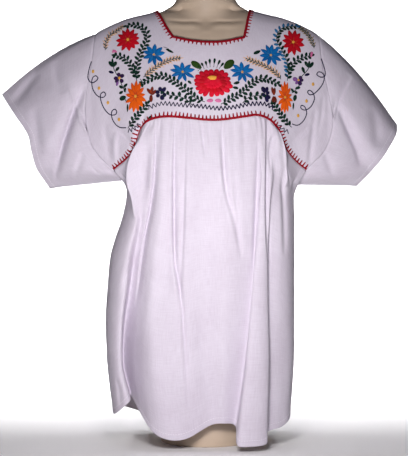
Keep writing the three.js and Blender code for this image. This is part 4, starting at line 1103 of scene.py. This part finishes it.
def hem_stitches(batch, piece):
    """Machine stitches on the turned hem, each a low pad in the cloth's stitch line."""
    grid, normals, closed = piece
    away = run_along(grid[::-1])
    line, out = (
        np.array([read_along(HEM_WIDTH - HEM_STITCH_IN, away[:, column], values[::-1, column])
                  for column in range(grid.shape[1])])
        for values in (grid, normals)
    )
    line, out = with_first(line, closed), with_first(out, closed)
    run = run_along(line)
    length, pitch = HEM_STITCH["length"], HEM_STITCH["length"] + HEM_STITCH["gap"]
    turn = np.linspace(0, math.pi, 5)
    ends = np.array(HEM_STITCH["taper"])[:, None]
    for start in np.arange(pitch, run[-1] - pitch, pitch):
        at = start + length * np.linspace(0, 1, len(ends))
        point, normal = read_along(at, run, line), unit(read_along(at, run, out))
        side = np.cross(unit(point[-1:] - point[:1]), normal)
        across = np.cos(turn) * HEM_STITCH["width"] / 2 * ends
        base = point[:, None] + side[:, None] * across[..., None]
        uv = np.stack([across, at[:, None] + 0 * across], -1)
        batch.pad(base, normal[:, None], np.sin(turn) * HEM_STITCH["height"] * ends, uv, 0.6, turned=True)


# The form

def form_half(z):
    """The form's half width: torso, shoulders, then the cloth's shoulder line a little lower, and neck."""
    ridge = through([(height - RIDGE_GAP, out) for out, height in SHOULDER_LINE[:0:-1]])
    rows = [(row[0], row[1]) for row in FORM_TORSO] + FORM_SHOULDERS
    rows += [(level, float(ridge(level))) for level in RIDGE_LEVELS] + FORM_NECK
    return through(rows)(z)


def form_depth(face, x, z, half):
    """How far the form stands out from its middle plane at x and height z."""
    share = np.minimum(np.abs(x) / half, 1)
    key = 2 if face == "front" else 3
    torso = through([(row[0], row[key]) for row in FORM_TORSO])(z)
    plain = torso * np.maximum(0, 1 - share**FORM_POWER) ** (1 / FORM_POWER)
    drop = np.maximum(0, shoulder_z(np.abs(x)) - RIDGE_GAP - z)
    flatter = lerp(0.8, 1, smoothstep(drop, 5, 60))
    chest = cloth_depth(face, np.abs(x), drop * flatter) * CHEST_UNDER_CLOTH
    chest = chest * np.maximum(0, 1 - share**6) ** (1 / 6)
    neck = FORM_NECK_DEPTH[face] * np.sqrt(np.maximum(0, 1 - (x / FORM_NECK_HALF) ** 2))
    neck = neck * smoothstep(z, *NECK_GROWS)
    blend = np.maximum(FORM_BLEND - np.abs(chest - neck), 0) / FORM_BLEND
    chest = np.maximum(chest, neck) + blend**2 * FORM_BLEND / 4
    low = lerp(plain, chest, smoothstep(z, *CHEST_GROWS))
    round_neck = FORM_NECK_DEPTH[face] * np.sqrt(np.maximum(0, 1 - share**2))
    high = lerp(np.maximum(chest, round_neck * 0.7), round_neck, smoothstep(z, *NECK_ALONE))
    return np.where(z >= FORM_NECK[0][0], high, low)


def form_rings():
    """The form's points: rings from its lower edge to the top of the neck."""
    levels = [np.linspace(low, high, count)[:-1] for low, high, count in FORM_LEVELS]
    z = np.concatenate([*levels, [FORM_LEVELS[-1][1]]])[:, None]
    turn = np.linspace(0, 2 * math.pi, FORM_COLUMNS, endpoint=False)[None]
    half = form_half(z)
    x = -half * np.cos(turn)
    front = np.sin(turn) >= 0
    depth = np.where(front, -form_depth("front", x, z, half), form_depth("back", x, z, half))
    depth = np.where(np.abs(np.sin(turn)) < 1e-6, 0, depth)
    for line in COLLARBONES:
        for sink, drop, width in COLLARBONE_RELIEF:
            places = [(across, height - drop) for across, height in line]
            depth = np.where(front, depth + line_relief(places, sink, width, 1, x, z + 0 * x), depth)
    return np.stack([x, depth, z + 0 * x], -1)


def foot_rings():
    """The round foot: a small round at its lower edge and a larger one at its upper edge."""
    turn = np.linspace(0, math.pi / 2, 7)
    small = PLINTH_BEVEL / 2
    radius = PLINTH_RADIUS - np.append(small * (1 - np.sin(turn)), PLINTH_BEVEL * (1 - np.cos(turn)))
    height = np.append(small * (1 - np.cos(turn)), PLINTH_HEIGHT - PLINTH_BEVEL * (1 - np.sin(turn)))
    round_it = np.linspace(0, 2 * math.pi, PLINTH_SIDES, endpoint=False)
    across, back = -radius[:, None] * np.cos(round_it), -radius[:, None] * np.sin(round_it)
    return np.stack([across, back, height[:, None] + 0 * round_it], -1)


# The embroidery

def on_yoke(x, z):
    """Points of the yoke's front that are seen at (x, z), and the outward directions there."""
    x, z = np.broadcast_arrays(np.asarray(x, float), np.asarray(z, float))
    step = 0.6
    xs, zs = np.stack([x, x + step, x]), np.stack([z, z, z + step])
    points = cloth_point("front", xs, np.maximum(shoulder_z(np.abs(xs)) - zs, 0.05))
    points[..., 1] += crease_relief("yoke", "front", xs, zs)
    normal = unit(np.cross(points[1] - points[0], points[2] - points[0]))
    return points[0], normal


def petal(batch, foot, tip, width, height, tone=0.6, full=0.6, widest=0.5, bend=0.0, lift=0.0, rows=10,
          columns=7):
    """A satin-stitched shape on the yoke between two (x, z) places, crowned along its middle."""
    foot, tip = np.asarray(foot, float), np.asarray(tip, float)
    v = np.linspace(0, 1, rows)[:, None]
    u = np.linspace(-1, 1, columns)[None]
    way = tip - foot
    length = np.hypot(*way)
    across = np.array([way[1], -way[0]]) / length
    shape = np.sin(math.pi * (0.03 + 0.94 * v) ** (math.log(0.5) / math.log(widest)))
    half = width / 2 * np.maximum(shape, 0.04) ** full
    side = half * u + bend * length * v * (1 - v) * 4
    x = foot[0] + way[0] * v + across[0] * side
    z = foot[1] + way[1] * v + across[1] * side
    point, normal = on_yoke(x, z)
    crown = lift + height * np.sqrt(np.maximum(0, 1 - u**2)) * np.maximum(shape, 0.1) ** 0.5
    uv = np.stack([half * u, v * length + 0 * u], -1)
    # Painted shade: darker towards the shape's edges and ends, and lighter along the middle of its length,
    # where its crown stands highest
    tones = np.clip(tone - 0.3 * u**2 + 0.15 * np.sin(math.pi * v), 0, 1)
    batch.pad(point, normal, crown, uv, np.tile(tones.ravel(), 2))


def thread_line(batch, places, width, tone=0.5, stitch=3.2, step=0.8, corners=False):
    """A line of stem stitches on the yoke through (x, z) places, straight between corners if asked."""
    places = np.asarray(places, float)
    if corners:
        run = run_along(places)
        at = np.unique(np.concatenate([run, np.arange(0, run[-1], step)]))
        line = read_along(at, run, places)
    else:
        curve = curve_through(places)
        at = np.linspace(0, curve.length, max(4, round(curve.length / step)) + 1)
        line = curve(at / curve.length)
    point, normal = on_yoke(line[:, 0], line[:, 1])
    side = unit(np.cross(normal, unit(headings(point))))
    thick = 1 - 0.28 * np.abs(np.cos(math.pi * at / stitch)) ** 4
    turn = np.linspace(0, 2 * math.pi, THREAD_SIDES, endpoint=False)
    radius = width / 2 * thick[:, None]
    rings = (point + normal * width * 0.2)[:, None] + side[:, None] * (radius * np.cos(turn))[..., None]
    rings = rings + normal[:, None] * (radius * np.sin(turn) * 0.8)[..., None]
    batch.sweep(rings, False, at, width * 3, tone)


def unevenness(n):
    """A steady, uneven number from -1 to 1 for the n-th stitch."""
    return math.sin(n * 12.9898 + 4.1) * 0.6 + math.sin(n * 4.273) * 0.4


def spoke(degrees, half_x, half_z):
    """From the middle of a flower to its edge."""
    angle = math.radians(degrees)
    return np.array([half_x * math.cos(angle), half_z * math.sin(angle)])


def ring_of_petals(batch, middle, half_x, half_z, count, turn, width, start=0.1, tone=0.6, lift=0.0,
                   full=0.85, widest=0.5, height=1.1, top_shade=0.0):
    for k in range(count):
        odd = unevenness(k + count)
        way = spoke(turn + (k + 0.18 * odd) * 360 / count, half_x, half_z)
        reach = 1 + 0.08 * unevenness(3 * k + 1)
        shade = tone + 0.25 * odd - top_shade * way[1] / half_z
        petal(batch, middle + way * start, middle + way * reach, width * (1 + 0.12 * odd), height,
              tone=shade, full=full, widest=widest, lift=lift + 0.12 * (k % 2))


def make_flowers(batches):
    """The flowers, the big one in the middle, and the small petals and buds."""
    for colour, middle, half_x, half_z, count, turn, width, radius in FLOWERS:
        middle = np.array(middle, float)
        ring_of_petals(batches[colour], middle, half_x, half_z, count, turn, width)
        for k in range(0, count, 2):
            way = spoke(turn + k * 360 / count, half_x, half_z)
            petal(batches["rust" if colour != "blue" else "azure"],
                  middle + way * 0.08, middle + way * 0.42, 1.2, 0.4, lift=0.9, rows=7, columns=5)
        dome(batches["gold"], middle, radius, radius)
    big = np.array(BIG_FLOWER["middle"], float)
    for n, (half_x, half_z, count, turn, width) in enumerate(BIG_FLOWER["rings"]):
        ring_of_petals(batches["scarlet" if n != 1 else "red"], big, half_x, half_z, count, turn, width,
                       start=0.3, tone=0.5 + 0.1 * n, lift=0.35 * n, full=0.45, widest=0.66, height=1.2,
                       top_shade=0.35)
    dome(batches["scarlet"], big, 9, 7, lift=0.6)
    dome(batches["gold"], BIG_HEART["middle"], *BIG_HEART["half"], lift=1.3)
    buds = [(colour, bud) for colour, rows in SMALL_PETALS for bud in rows]
    for n, (colour, (x, z, tip_x, tip_z, width)) in enumerate(buds):
        petal(batches[colour], (x, z), (tip_x, tip_z), width, 0.8, tone=0.5 + 0.25 * unevenness(n), full=0.5,
              widest=0.55, rows=8)
    for colour, middle, radius in HEARTS:
        dome(batches[colour], middle, radius, radius, lift=0.5)


def dome(batch, middle, half_x, half_z, lift=0.7):
    """A round padded heart or dot."""
    x, z = middle
    petal(batch, (x, z - half_z), (x, z + half_z), 2 * half_x, 0.8, tone=0.7, full=0.5, lift=lift, rows=8)


def side_leaves(batches, places, length, width, spacing, lean, left, right, height=0.7, first=4.0):
    """Leaves in pairs on both sides of a stem, leaning towards its tip."""
    curve = curve_through(places)
    count = int((curve.length - first) / spacing) + 1
    for k in range(count):
        for turn, colour in ((1, left), (-1, right)):
            odd = unevenness(5 * k + turn)
            share = (first + k * spacing + 0.35 * spacing * (turn > 0) + 0.5 * odd) / curve.length
            at = curve(share)
            way = curve(min(share + 0.01, 1)) - curve(min(share + 0.01, 1) - 0.02)
            angle = math.atan2(way[1], way[0]) + turn * math.radians(lean + 7 * odd)
            aim = np.array([math.cos(angle), math.sin(angle)])
            size = length * (1 + 0.1 * odd) * (1 - 0.25 * smoothstep(share, 0.75, 1))
            petal(batches[colour], at + aim * 0.9, at + aim * (0.9 + size), width * (1 + 0.1 * odd), height,
                  tone=0.5 + 0.3 * odd, full=0.6, widest=0.5, bend=0.06 * turn, rows=7, columns=5)
    end, before = curve(1), curve(0.97)
    aim = unit(end - before)
    petal(batches[left], end, end + aim * length, width, height, rows=7, columns=5)


def make_leaves(batches):
    """The leafy stems, the ferns, and the drops above the big flower."""
    for places, length, width, spacing, lean, stem, left, right in VINES:
        thread_line(batches[stem], places, 1.5)
        side_leaves(batches, places, length, width, spacing, lean, left, right)
    for places, length, width, spacing, lean, stem, leaflet in FERNS:
        thread_line(batches[stem], places, 1.2)
        side_leaves(batches, places, length, width, spacing, lean, leaflet, leaflet, height=0.45)
        side_leaves(batches, places, length * 0.62, width * 0.95, spacing, lean, stem, stem, height=0.6,
                    first=1.4)
    for foot, tip in np.array(CROWN, float):
        thread_line(batches["teal"], [foot, lerp(foot, tip, 0.6)], 1.0)
        petal(batches["green"], lerp(foot, tip, 0.3), tip, 4.2, 0.8, full=0.55, widest=0.68, rows=8,
              columns=5)


def make_lines(batches):
    """The looped lines and stems, the zigzags and the dots."""
    for colour, places, width in LINES:
        thread_line(batches[colour], places, width)
    for places, pitch, half in ZIGZAGS:
        curve = curve_through(places)
        count = 2 * round(curve.length / pitch)
        share = np.linspace(0, 1, count + 1)
        at = curve(share)
        way = unit(curve(np.minimum(share + 0.01, 1)) - curve(np.maximum(share - 0.01, 0)))
        corner = np.arange(count + 1)
        swing = np.where(corner % 2, half, -half) * (1 + 0.08 * np.sin(corner * 7.0))
        corners = at + np.stack([-way[:, 1], way[:, 0]], -1) * swing[:, None]
        thread_line(batches["navy"], corners, 2.1, stitch=1e3, corners=True)
    for x, z in DOTS:
        dome(batches["yellow"], (x, z), 2.4, 3.1, lift=0.1)


# Materials

def linear(colour):
    """A colour of "#RRGGBB" in sRGB as linear RGBA."""
    parts = [int(colour[i:i + 2], 16) / 255 for i in (1, 3, 5)]
    return [p / 12.92 if p <= 0.04045 else ((p + 0.055) / 1.055) ** 2.4 for p in parts] + [1.0]


def per_metre(size_mm):
    """A texture's scale, for a pattern that repeats every size_mm."""
    return 1 / (size_mm * MM)


def new_material(name, sockets):
    """A material and its shader's sockets, some of them set to a value."""
    material = bpy.data.materials.new(name)
    material.use_nodes = True
    shader = material.node_tree.nodes["Principled BSDF"].inputs
    for key, value in sockets.items():
        shader[key].default_value = value
    return material, shader


def add_node(material, kind, links=None, inputs=None, **settings):
    """Adds a node with its settings, input values and links."""
    made = material.node_tree.nodes.new(kind)
    for key, value in settings.items():
        setattr(made, key, value)
    for key, value in (inputs or {}).items():
        made.inputs[key].default_value = value
    for key, source in (links or {}).items():
        material.node_tree.links.new(source, made.inputs[key])
    return made


def connect(material, source, socket):
    material.node_tree.links.new(source, socket)


def cotton_muslin(name, light, shade):
    """White cotton muslin, plain woven and washed: matt, a little fuzzy, with thicker threads here and
    there that show as short streaks both ways."""
    material, shader = new_material(
        name, {"Sheen Weight": 0.04, "Sheen Roughness": 0.6, "Specular IOR Level": 0.25})
    place = add_node(material, "ShaderNodeTexCoord").outputs["UV"]
    # Threads are 0.5 mm apart in the cloth and 1.5 mm here, or they would not show
    streaks = []
    for across, along in ((1.5, 22), (22, 1.5)):
        scaled = add_node(material, "ShaderNodeMapping", {"Vector": place},
                          {"Scale": (per_metre(across), per_metre(along), 1)})
        noise = add_node(material, "ShaderNodeTexNoise", {"Vector": scaled.outputs["Vector"]},
                         {"Scale": 1.0, "Detail": 2.0, "Roughness": 0.55})
        streaks.append(noise.outputs["Fac"])
    both = add_node(material, "ShaderNodeMath", {0: streaks[0], 1: streaks[1]}, operation="ADD")
    cloudy = add_node(material, "ShaderNodeTexNoise", {"Vector": place},
                      {"Scale": per_metre(70), "Detail": 3.0, "Roughness": 0.5})
    mixed = add_node(material, "ShaderNodeMath", {0: both.outputs[0], 1: cloudy.outputs["Fac"]},
                     operation="ADD")
    mean = add_node(material, "ShaderNodeMath", {0: mixed.outputs[0]}, {1: 1 / 3}, operation="MULTIPLY")
    ramp = add_node(material, "ShaderNodeValToRGB", {"Fac": mean.outputs[0]})
    for stop, at, colour in zip(ramp.color_ramp.elements, (0.36, 0.6), (shade, light)):
        stop.position, stop.color = at, linear(colour)
    connect(material, ramp.outputs["Color"], shader["Base Color"])
    bump = add_node(material, "ShaderNodeBump", {"Height": both.outputs[0]},
                    {"Strength": 0.35, "Distance": 0.0006})
    connect(material, bump.outputs["Normal"], shader["Normal"])
    rough = add_node(material, "ShaderNodeMapRange", {"Value": both.outputs[0]},
                     {"From Min": 0.6, "From Max": 1.4, "To Min": 0.86, "To Max": 0.98})
    connect(material, rough.outputs["Result"], shader["Roughness"])
    return material


def stranded_cotton(name, light, deep):
    """Mercerised cotton floss laid in satin stitch: a soft shine, and fine ridges of thread."""
    material, shader = new_material(
        name, {"Roughness": 0.55, "Sheen Weight": 0.02, "Specular IOR Level": 0.16})
    place = add_node(material, "ShaderNodeTexCoord").outputs["UV"]
    # The deep and light colours are mixed by each stitch's own unevenness and by painted shade towards the
    # edges of padded shapes
    tone = add_node(material, "ShaderNodeAttribute", attribute_name="tone").outputs["Fac"]
    # Strands are 0.4 mm wide in the floss and 1 mm here, or they would not show
    scaled = add_node(material, "ShaderNodeMapping", {"Vector": place},
                      {"Scale": (per_metre(1.0), per_metre(9), 1)})
    strands = add_node(material, "ShaderNodeTexNoise", {"Vector": scaled.outputs["Vector"]},
                       {"Scale": 1.0, "Detail": 2.0, "Roughness": 0.6})
    uneven = add_node(material, "ShaderNodeMath", {0: strands.outputs["Fac"]}, {1: -0.5}, operation="ADD")
    shift = add_node(material, "ShaderNodeMath", {0: uneven.outputs[0], 2: tone}, {1: 0.9},
                     operation="MULTIPLY_ADD", use_clamp=True)
    colour = add_node(material, "ShaderNodeMix", {"Factor": shift.outputs[0]}, data_type="RGBA")
    colour.inputs[6].default_value = linear(deep)
    colour.inputs[7].default_value = linear(light)
    connect(material, colour.outputs[2], shader["Base Color"])
    bump = add_node(material, "ShaderNodeBump", {"Height": strands.outputs["Fac"]},
                    {"Strength": 0.6, "Distance": 0.0005})
    connect(material, bump.outputs["Normal"], shader["Normal"])
    return material


def moulded_shell(name, light, shade):
    """Moulded glass-fibre shell with a satin sprayed coat: smooth, with a faint orange peel."""
    material, shader = new_material(name, {"Roughness": 0.42})
    place = add_node(material, "ShaderNodeTexCoord").outputs["Object"]
    cloudy = add_node(material, "ShaderNodeTexNoise", {"Vector": place},
                      {"Scale": per_metre(90), "Detail": 4.0, "Roughness": 0.6})
    ramp = add_node(material, "ShaderNodeValToRGB", {"Fac": cloudy.outputs["Fac"]})
    for stop, at, colour in zip(ramp.color_ramp.elements, (0.35, 0.65), (shade, light)):
        stop.position, stop.color = at, linear(colour)
    connect(material, ramp.outputs["Color"], shader["Base Color"])
    # The coat's orange peel is about 3 mm across
    peel = add_node(material, "ShaderNodeTexNoise", {"Vector": place},
                    {"Scale": per_metre(3), "Detail": 1.0, "Roughness": 0.4})
    bump = add_node(material, "ShaderNodeBump", {"Height": peel.outputs["Fac"]},
                    {"Strength": 0.1, "Distance": 0.0003})
    connect(material, bump.outputs["Normal"], shader["Normal"])
    return material


def painted_floor(name, colour):
    """Matt painted studio floor with a slightly uneven coat."""
    material, shader = new_material(name, {"Base Color": linear(colour)})
    place = add_node(material, "ShaderNodeTexCoord").outputs["Object"]
    cloudy = add_node(material, "ShaderNodeTexNoise", {"Vector": place}, {"Scale": 2.0, "Detail": 3.0})
    rough = add_node(material, "ShaderNodeMapRange", {"Value": cloudy.outputs["Fac"]},
                     {"To Min": 0.85, "To Max": 0.95})
    connect(material, rough.outputs["Result"], shader["Roughness"])
    return material


# Settings, operators and panel

def colour_setting(name, description, default):
    return bpy.props.StringProperty(name=name, description=description, default=default)


def length_setting(name, description, default):
    return bpy.props.FloatProperty(name=name, description=description, default=default, min=0,
                                   subtype="DISTANCE", unit="LENGTH")


class BlouseClothSettings(bpy.types.PropertyGroup):
    light: colour_setting("Cotton", "Colour of the cotton", "#D9D2DE")
    shade: colour_setting("Cotton shade", "Colour of the cotton where its threads are thin", "#CCC3D0")
    thickness: length_setting("Cotton thickness", "Thickness of the cotton as it is drawn", 0.0007)


class BlouseThreadSettings(bpy.types.PropertyGroup):
    edging: bpy.props.EnumProperty(
        name="Edging thread", description="Thread of the blanket stitch", default="dark_red",
        items=[(key, key.replace("_", " "), "") for key in THREADS])
    cord: length_setting("Cord width", "Width of the band along the blanket stitch", 0.0044)
    neck_pitch: length_setting("Neck stitch", "Space from stitch to stitch on the neck", 0.007)
    seam_pitch: length_setting("Seam stitch", "Space from stitch to stitch on the yoke seams", 0.0066)


class BlouseFormSettings(bpy.types.PropertyGroup):
    light: colour_setting("Form", "Colour of the dress form's coat", "#D0BCA6")
    shade: colour_setting("Form shade", "Darker shade of the coat", "#C2AE98")


class BlouseStageSettings(bpy.types.PropertyGroup):
    floor: colour_setting("Floor", "Colour of the studio floor", "#FAF9FA")
    distance: length_setting("Camera distance", "How far the camera stands before the form", 2.4)
    strength: bpy.props.FloatProperty(name="Light strength", description="Scales all the lights",
                                      default=1.0, min=0)


SETTINGS = {
    "blouse_cloth": BlouseClothSettings, "blouse_threads": BlouseThreadSettings,
    "blouse_form": BlouseFormSettings, "blouse_stage": BlouseStageSettings,
}


def material_of(make, name, *colours):
    """The material of that name, made when it is first asked for."""
    return bpy.data.materials.get(name) or make(name, *colours)


def thread_material(colour):
    return material_of(stranded_cotton, f"stranded_cotton_{colour}", *THREADS[colour])


class BLOUSE_OT_cloth(bpy.types.Operator):
    """Makes the yoke, the body panels and the sleeves"""

    bl_idname = "blouse.cloth"
    bl_label = "Cloth"

    def execute(self, context):
        setup = context.scene.blouse_cloth
        cotton = material_of(cotton_muslin, "cotton_muslin_plain_woven", setup.light, setup.shade)
        for name, (grid, normals, closed) in blouse_cloth().items():
            batch = Batch()
            inner = grid - normals * setup.thickness / MM
            batch.add(shell_arrays(grid, inner, closed, cloth_uv(grid, closed)))
            piece = finish_piece(batch.piece(name + "_cloth", cotton), "cotton", name)
        return {"FINISHED"}


class BLOUSE_OT_edging(bpy.types.Operator):
    """Makes the red blanket stitch on the neck and the yoke seams"""

    bl_idname = "blouse.edging"
    bl_label = "Red edging"

    def execute(self, context):
        setup = context.scene.blouse_threads
        cord = setup.cord / MM
        yoke = blouse_cloth()["yoke"]
        surface = cloth_surface(yoke)
        columns = yoke[0].shape[1]
        front = len(yoke_lines("front")[0])
        edges = {
            "neck_edging": range(columns),
            "front_seam_edging": range(ARMHOLE_STEPS, front - ARMHOLE_STEPS),
            "back_seam_edging": range(front + ARMHOLE_STEPS - 1, columns - ARMHOLE_STEPS + 1),
        }
        for name, along in edges.items():
            closed = name == "neck_edging"
            seam = -1, -4, setup.seam_pitch, SEAM_TOOTH_REACH
            row, deeper, pitch, reach = (0, 3, setup.neck_pitch, NECK_TOOTH_REACH) if closed else seam
            batch = Batch()
            places = edge_frame(yoke, row, deeper, np.array(along), closed)
            blanket_cord(batch, places, closed, cord)
            blanket_teeth(batch, places, pitch / MM, reach, surface, cord)
            made = batch.piece(name + "_stitches", thread_material(setup.edging))
            finish_piece(made, "embroidery_thread", name)
        return {"FINISHED"}


class BLOUSE_OT_hems(bpy.types.Operator):
    """Sews the hems of the cuffs and of the body"""

    bl_idname = "blouse.hems"
    bl_label = "Hem stitching"

    def execute(self, context):
        for name, piece in blouse_cloth().items():
            if name == "yoke":
                continue
            batch = Batch()
            hem_stitches(batch, piece)
            made = batch.piece(name + "_hem_seam", thread_material("white"))
            finish_piece(made, "embroidery_thread")
        return {"FINISHED"}


class BLOUSE_OT_embroidery(bpy.types.Operator):
    """Embroiders the front of the yoke"""

    bl_idname = "blouse.embroidery"
    bl_label = "Embroidery"

    def execute(self, context):
        batches = {colour: Batch() for colour in THREADS}
        make_flowers(batches)
        make_leaves(batches)
        make_lines(batches)
        for colour, batch in batches.items():
            if batch.count:
                made = batch.piece(f"embroidery_stitches_{colour}", thread_material(colour))
                finish_piece(made, "embroidery_thread")
        return {"FINISHED"}


class BLOUSE_OT_form(bpy.types.Operator):
    """Makes the dress form and its foot"""

    bl_idname = "blouse.form"
    bl_label = "Dress form"

    def execute(self, context):
        setup = context.scene.blouse_form
        shell = material_of(moulded_shell, "glass_fibre_shell_satin_coated", setup.light, setup.shade)
        for name, node, rings, height, around in (
            ("dress_form_shell", "dress_form", form_rings(), 760, 900),
            ("form_foot_disc", "form_plinth", foot_rings(), PLINTH_HEIGHT, 500),
        ):
            batch = Batch()
            batch.sweep(rings[:, ::-1], False, np.linspace(0, height, len(rings)), around)
            finish_piece(batch.piece(name, shell), "form_shell", node)
        return {"FINISHED"}


class BLOUSE_OT_stage(bpy.types.Operator):
    """Makes the floor, the light and the camera"""

    bl_idname = "blouse.stage"
    bl_label = "Stage"

    def execute(self, context):
        scene, setup = context.scene, context.scene.blouse_stage
        # A sweep of floor that rises behind the form
        bend = [(SWEEP_BACK + SWEEP_ROUND * math.sin(t), SWEEP_ROUND * (1 - math.cos(t)))
                for t in np.linspace(0, math.pi / 2, 16)]
        profile = [(SWEEP_FRONT, 0), *bend, (SWEEP_BACK + SWEEP_ROUND, SWEEP_TOP)]
        vertices = [(x, y, z) for x in (-SWEEP_HALF, SWEEP_HALF) for y, z in profile]
        n = len(profile)
        mesh = bpy.data.meshes.new("studio_sweep")
        mesh.from_pydata(vertices, [], [(i, i + 1, n + i + 1, n + i)[::-1] for i in range(n - 1)])
        mesh.polygons.foreach_set("use_smooth", [True] * len(mesh.polygons))
        sweep = bpy.data.objects.new("studio_sweep", mesh)
        mesh.materials.append(painted_floor("studio_floor_matt_painted", setup.floor))
        scene.collection.objects.link(sweep)
        for name, place, aim, size, beam, power, colour in LIGHTS:
            lamp = bpy.data.lights.new(name, "AREA")
            lamp.shape, lamp.size, lamp.spread = "DISK", size, math.radians(beam)
            lamp.energy = power * setup.strength
            lamp.color = linear(colour)[:3]
            made = bpy.data.objects.new(name, lamp)
            made.location = place
            made.rotation_euler = (Vector(aim) - Vector(place)).to_track_quat("-Z", "Y").to_euler()
            made.visible_camera = False
            scene.collection.objects.link(made)
        world = bpy.data.worlds.new("studio_air")
        world.use_nodes = True
        air = world.node_tree.nodes["Background"].inputs
        air["Color"].default_value, air["Strength"].default_value = linear(WORLD_COLOUR), WORLD_STRENGTH
        scene.world = world
        scene.view_settings.view_transform = "Standard"
        camera = bpy.data.cameras.new("camera")
        camera.sensor_fit, camera.sensor_height = "VERTICAL", SENSOR
        camera.lens = SENSOR * setup.distance / (PIXEL_MM * MM * IMAGE_HEIGHT)
        made = bpy.data.objects.new("camera", camera)
        made.location = (CAMERA_X * MM, -setup.distance, CAMERA_Z * MM)
        made.rotation_euler = (math.pi / 2, 0, 0)
        scene.collection.objects.link(made)
        scene.camera = made
        return {"FINISHED"}


OPERATORS = [BLOUSE_OT_stage, BLOUSE_OT_form, BLOUSE_OT_edging, BLOUSE_OT_hems, BLOUSE_OT_embroidery,
             BLOUSE_OT_cloth]


class BLOUSE_PT_pieces(bpy.types.Panel):
    """Lists the pieces of the blouse"""

    bl_idname = "BLOUSE_PT_pieces"
    bl_label = "Blouse"
    bl_space_type = "VIEW_3D"
    bl_region_type = "UI"
    bl_category = "Blouse"

    def draw(self, context):
        for name, settings in SETTINGS.items():
            for key in settings.__annotations__:
                self.layout.prop(getattr(context.scene, name), key)
        for operator in OPERATORS:
            self.layout.operator(operator.bl_idname)


CLASSES = [*SETTINGS.values(), *OPERATORS, BLOUSE_PT_pieces]


def register():
    for made in CLASSES:
        bpy.utils.register_class(made)
    for name, settings in SETTINGS.items():
        setattr(bpy.types.Scene, name, bpy.props.PointerProperty(type=settings))


def unregister():
    for name in SETTINGS:
        delattr(bpy.types.Scene, name)
    for made in reversed(CLASSES):
        bpy.utils.unregister_class(made)


def main():
    register()
    for operator in OPERATORS:
        group, name = operator.bl_idname.split(".")
        getattr(getattr(bpy.ops, group), name)()


if __name__ == "__main__":
    main()
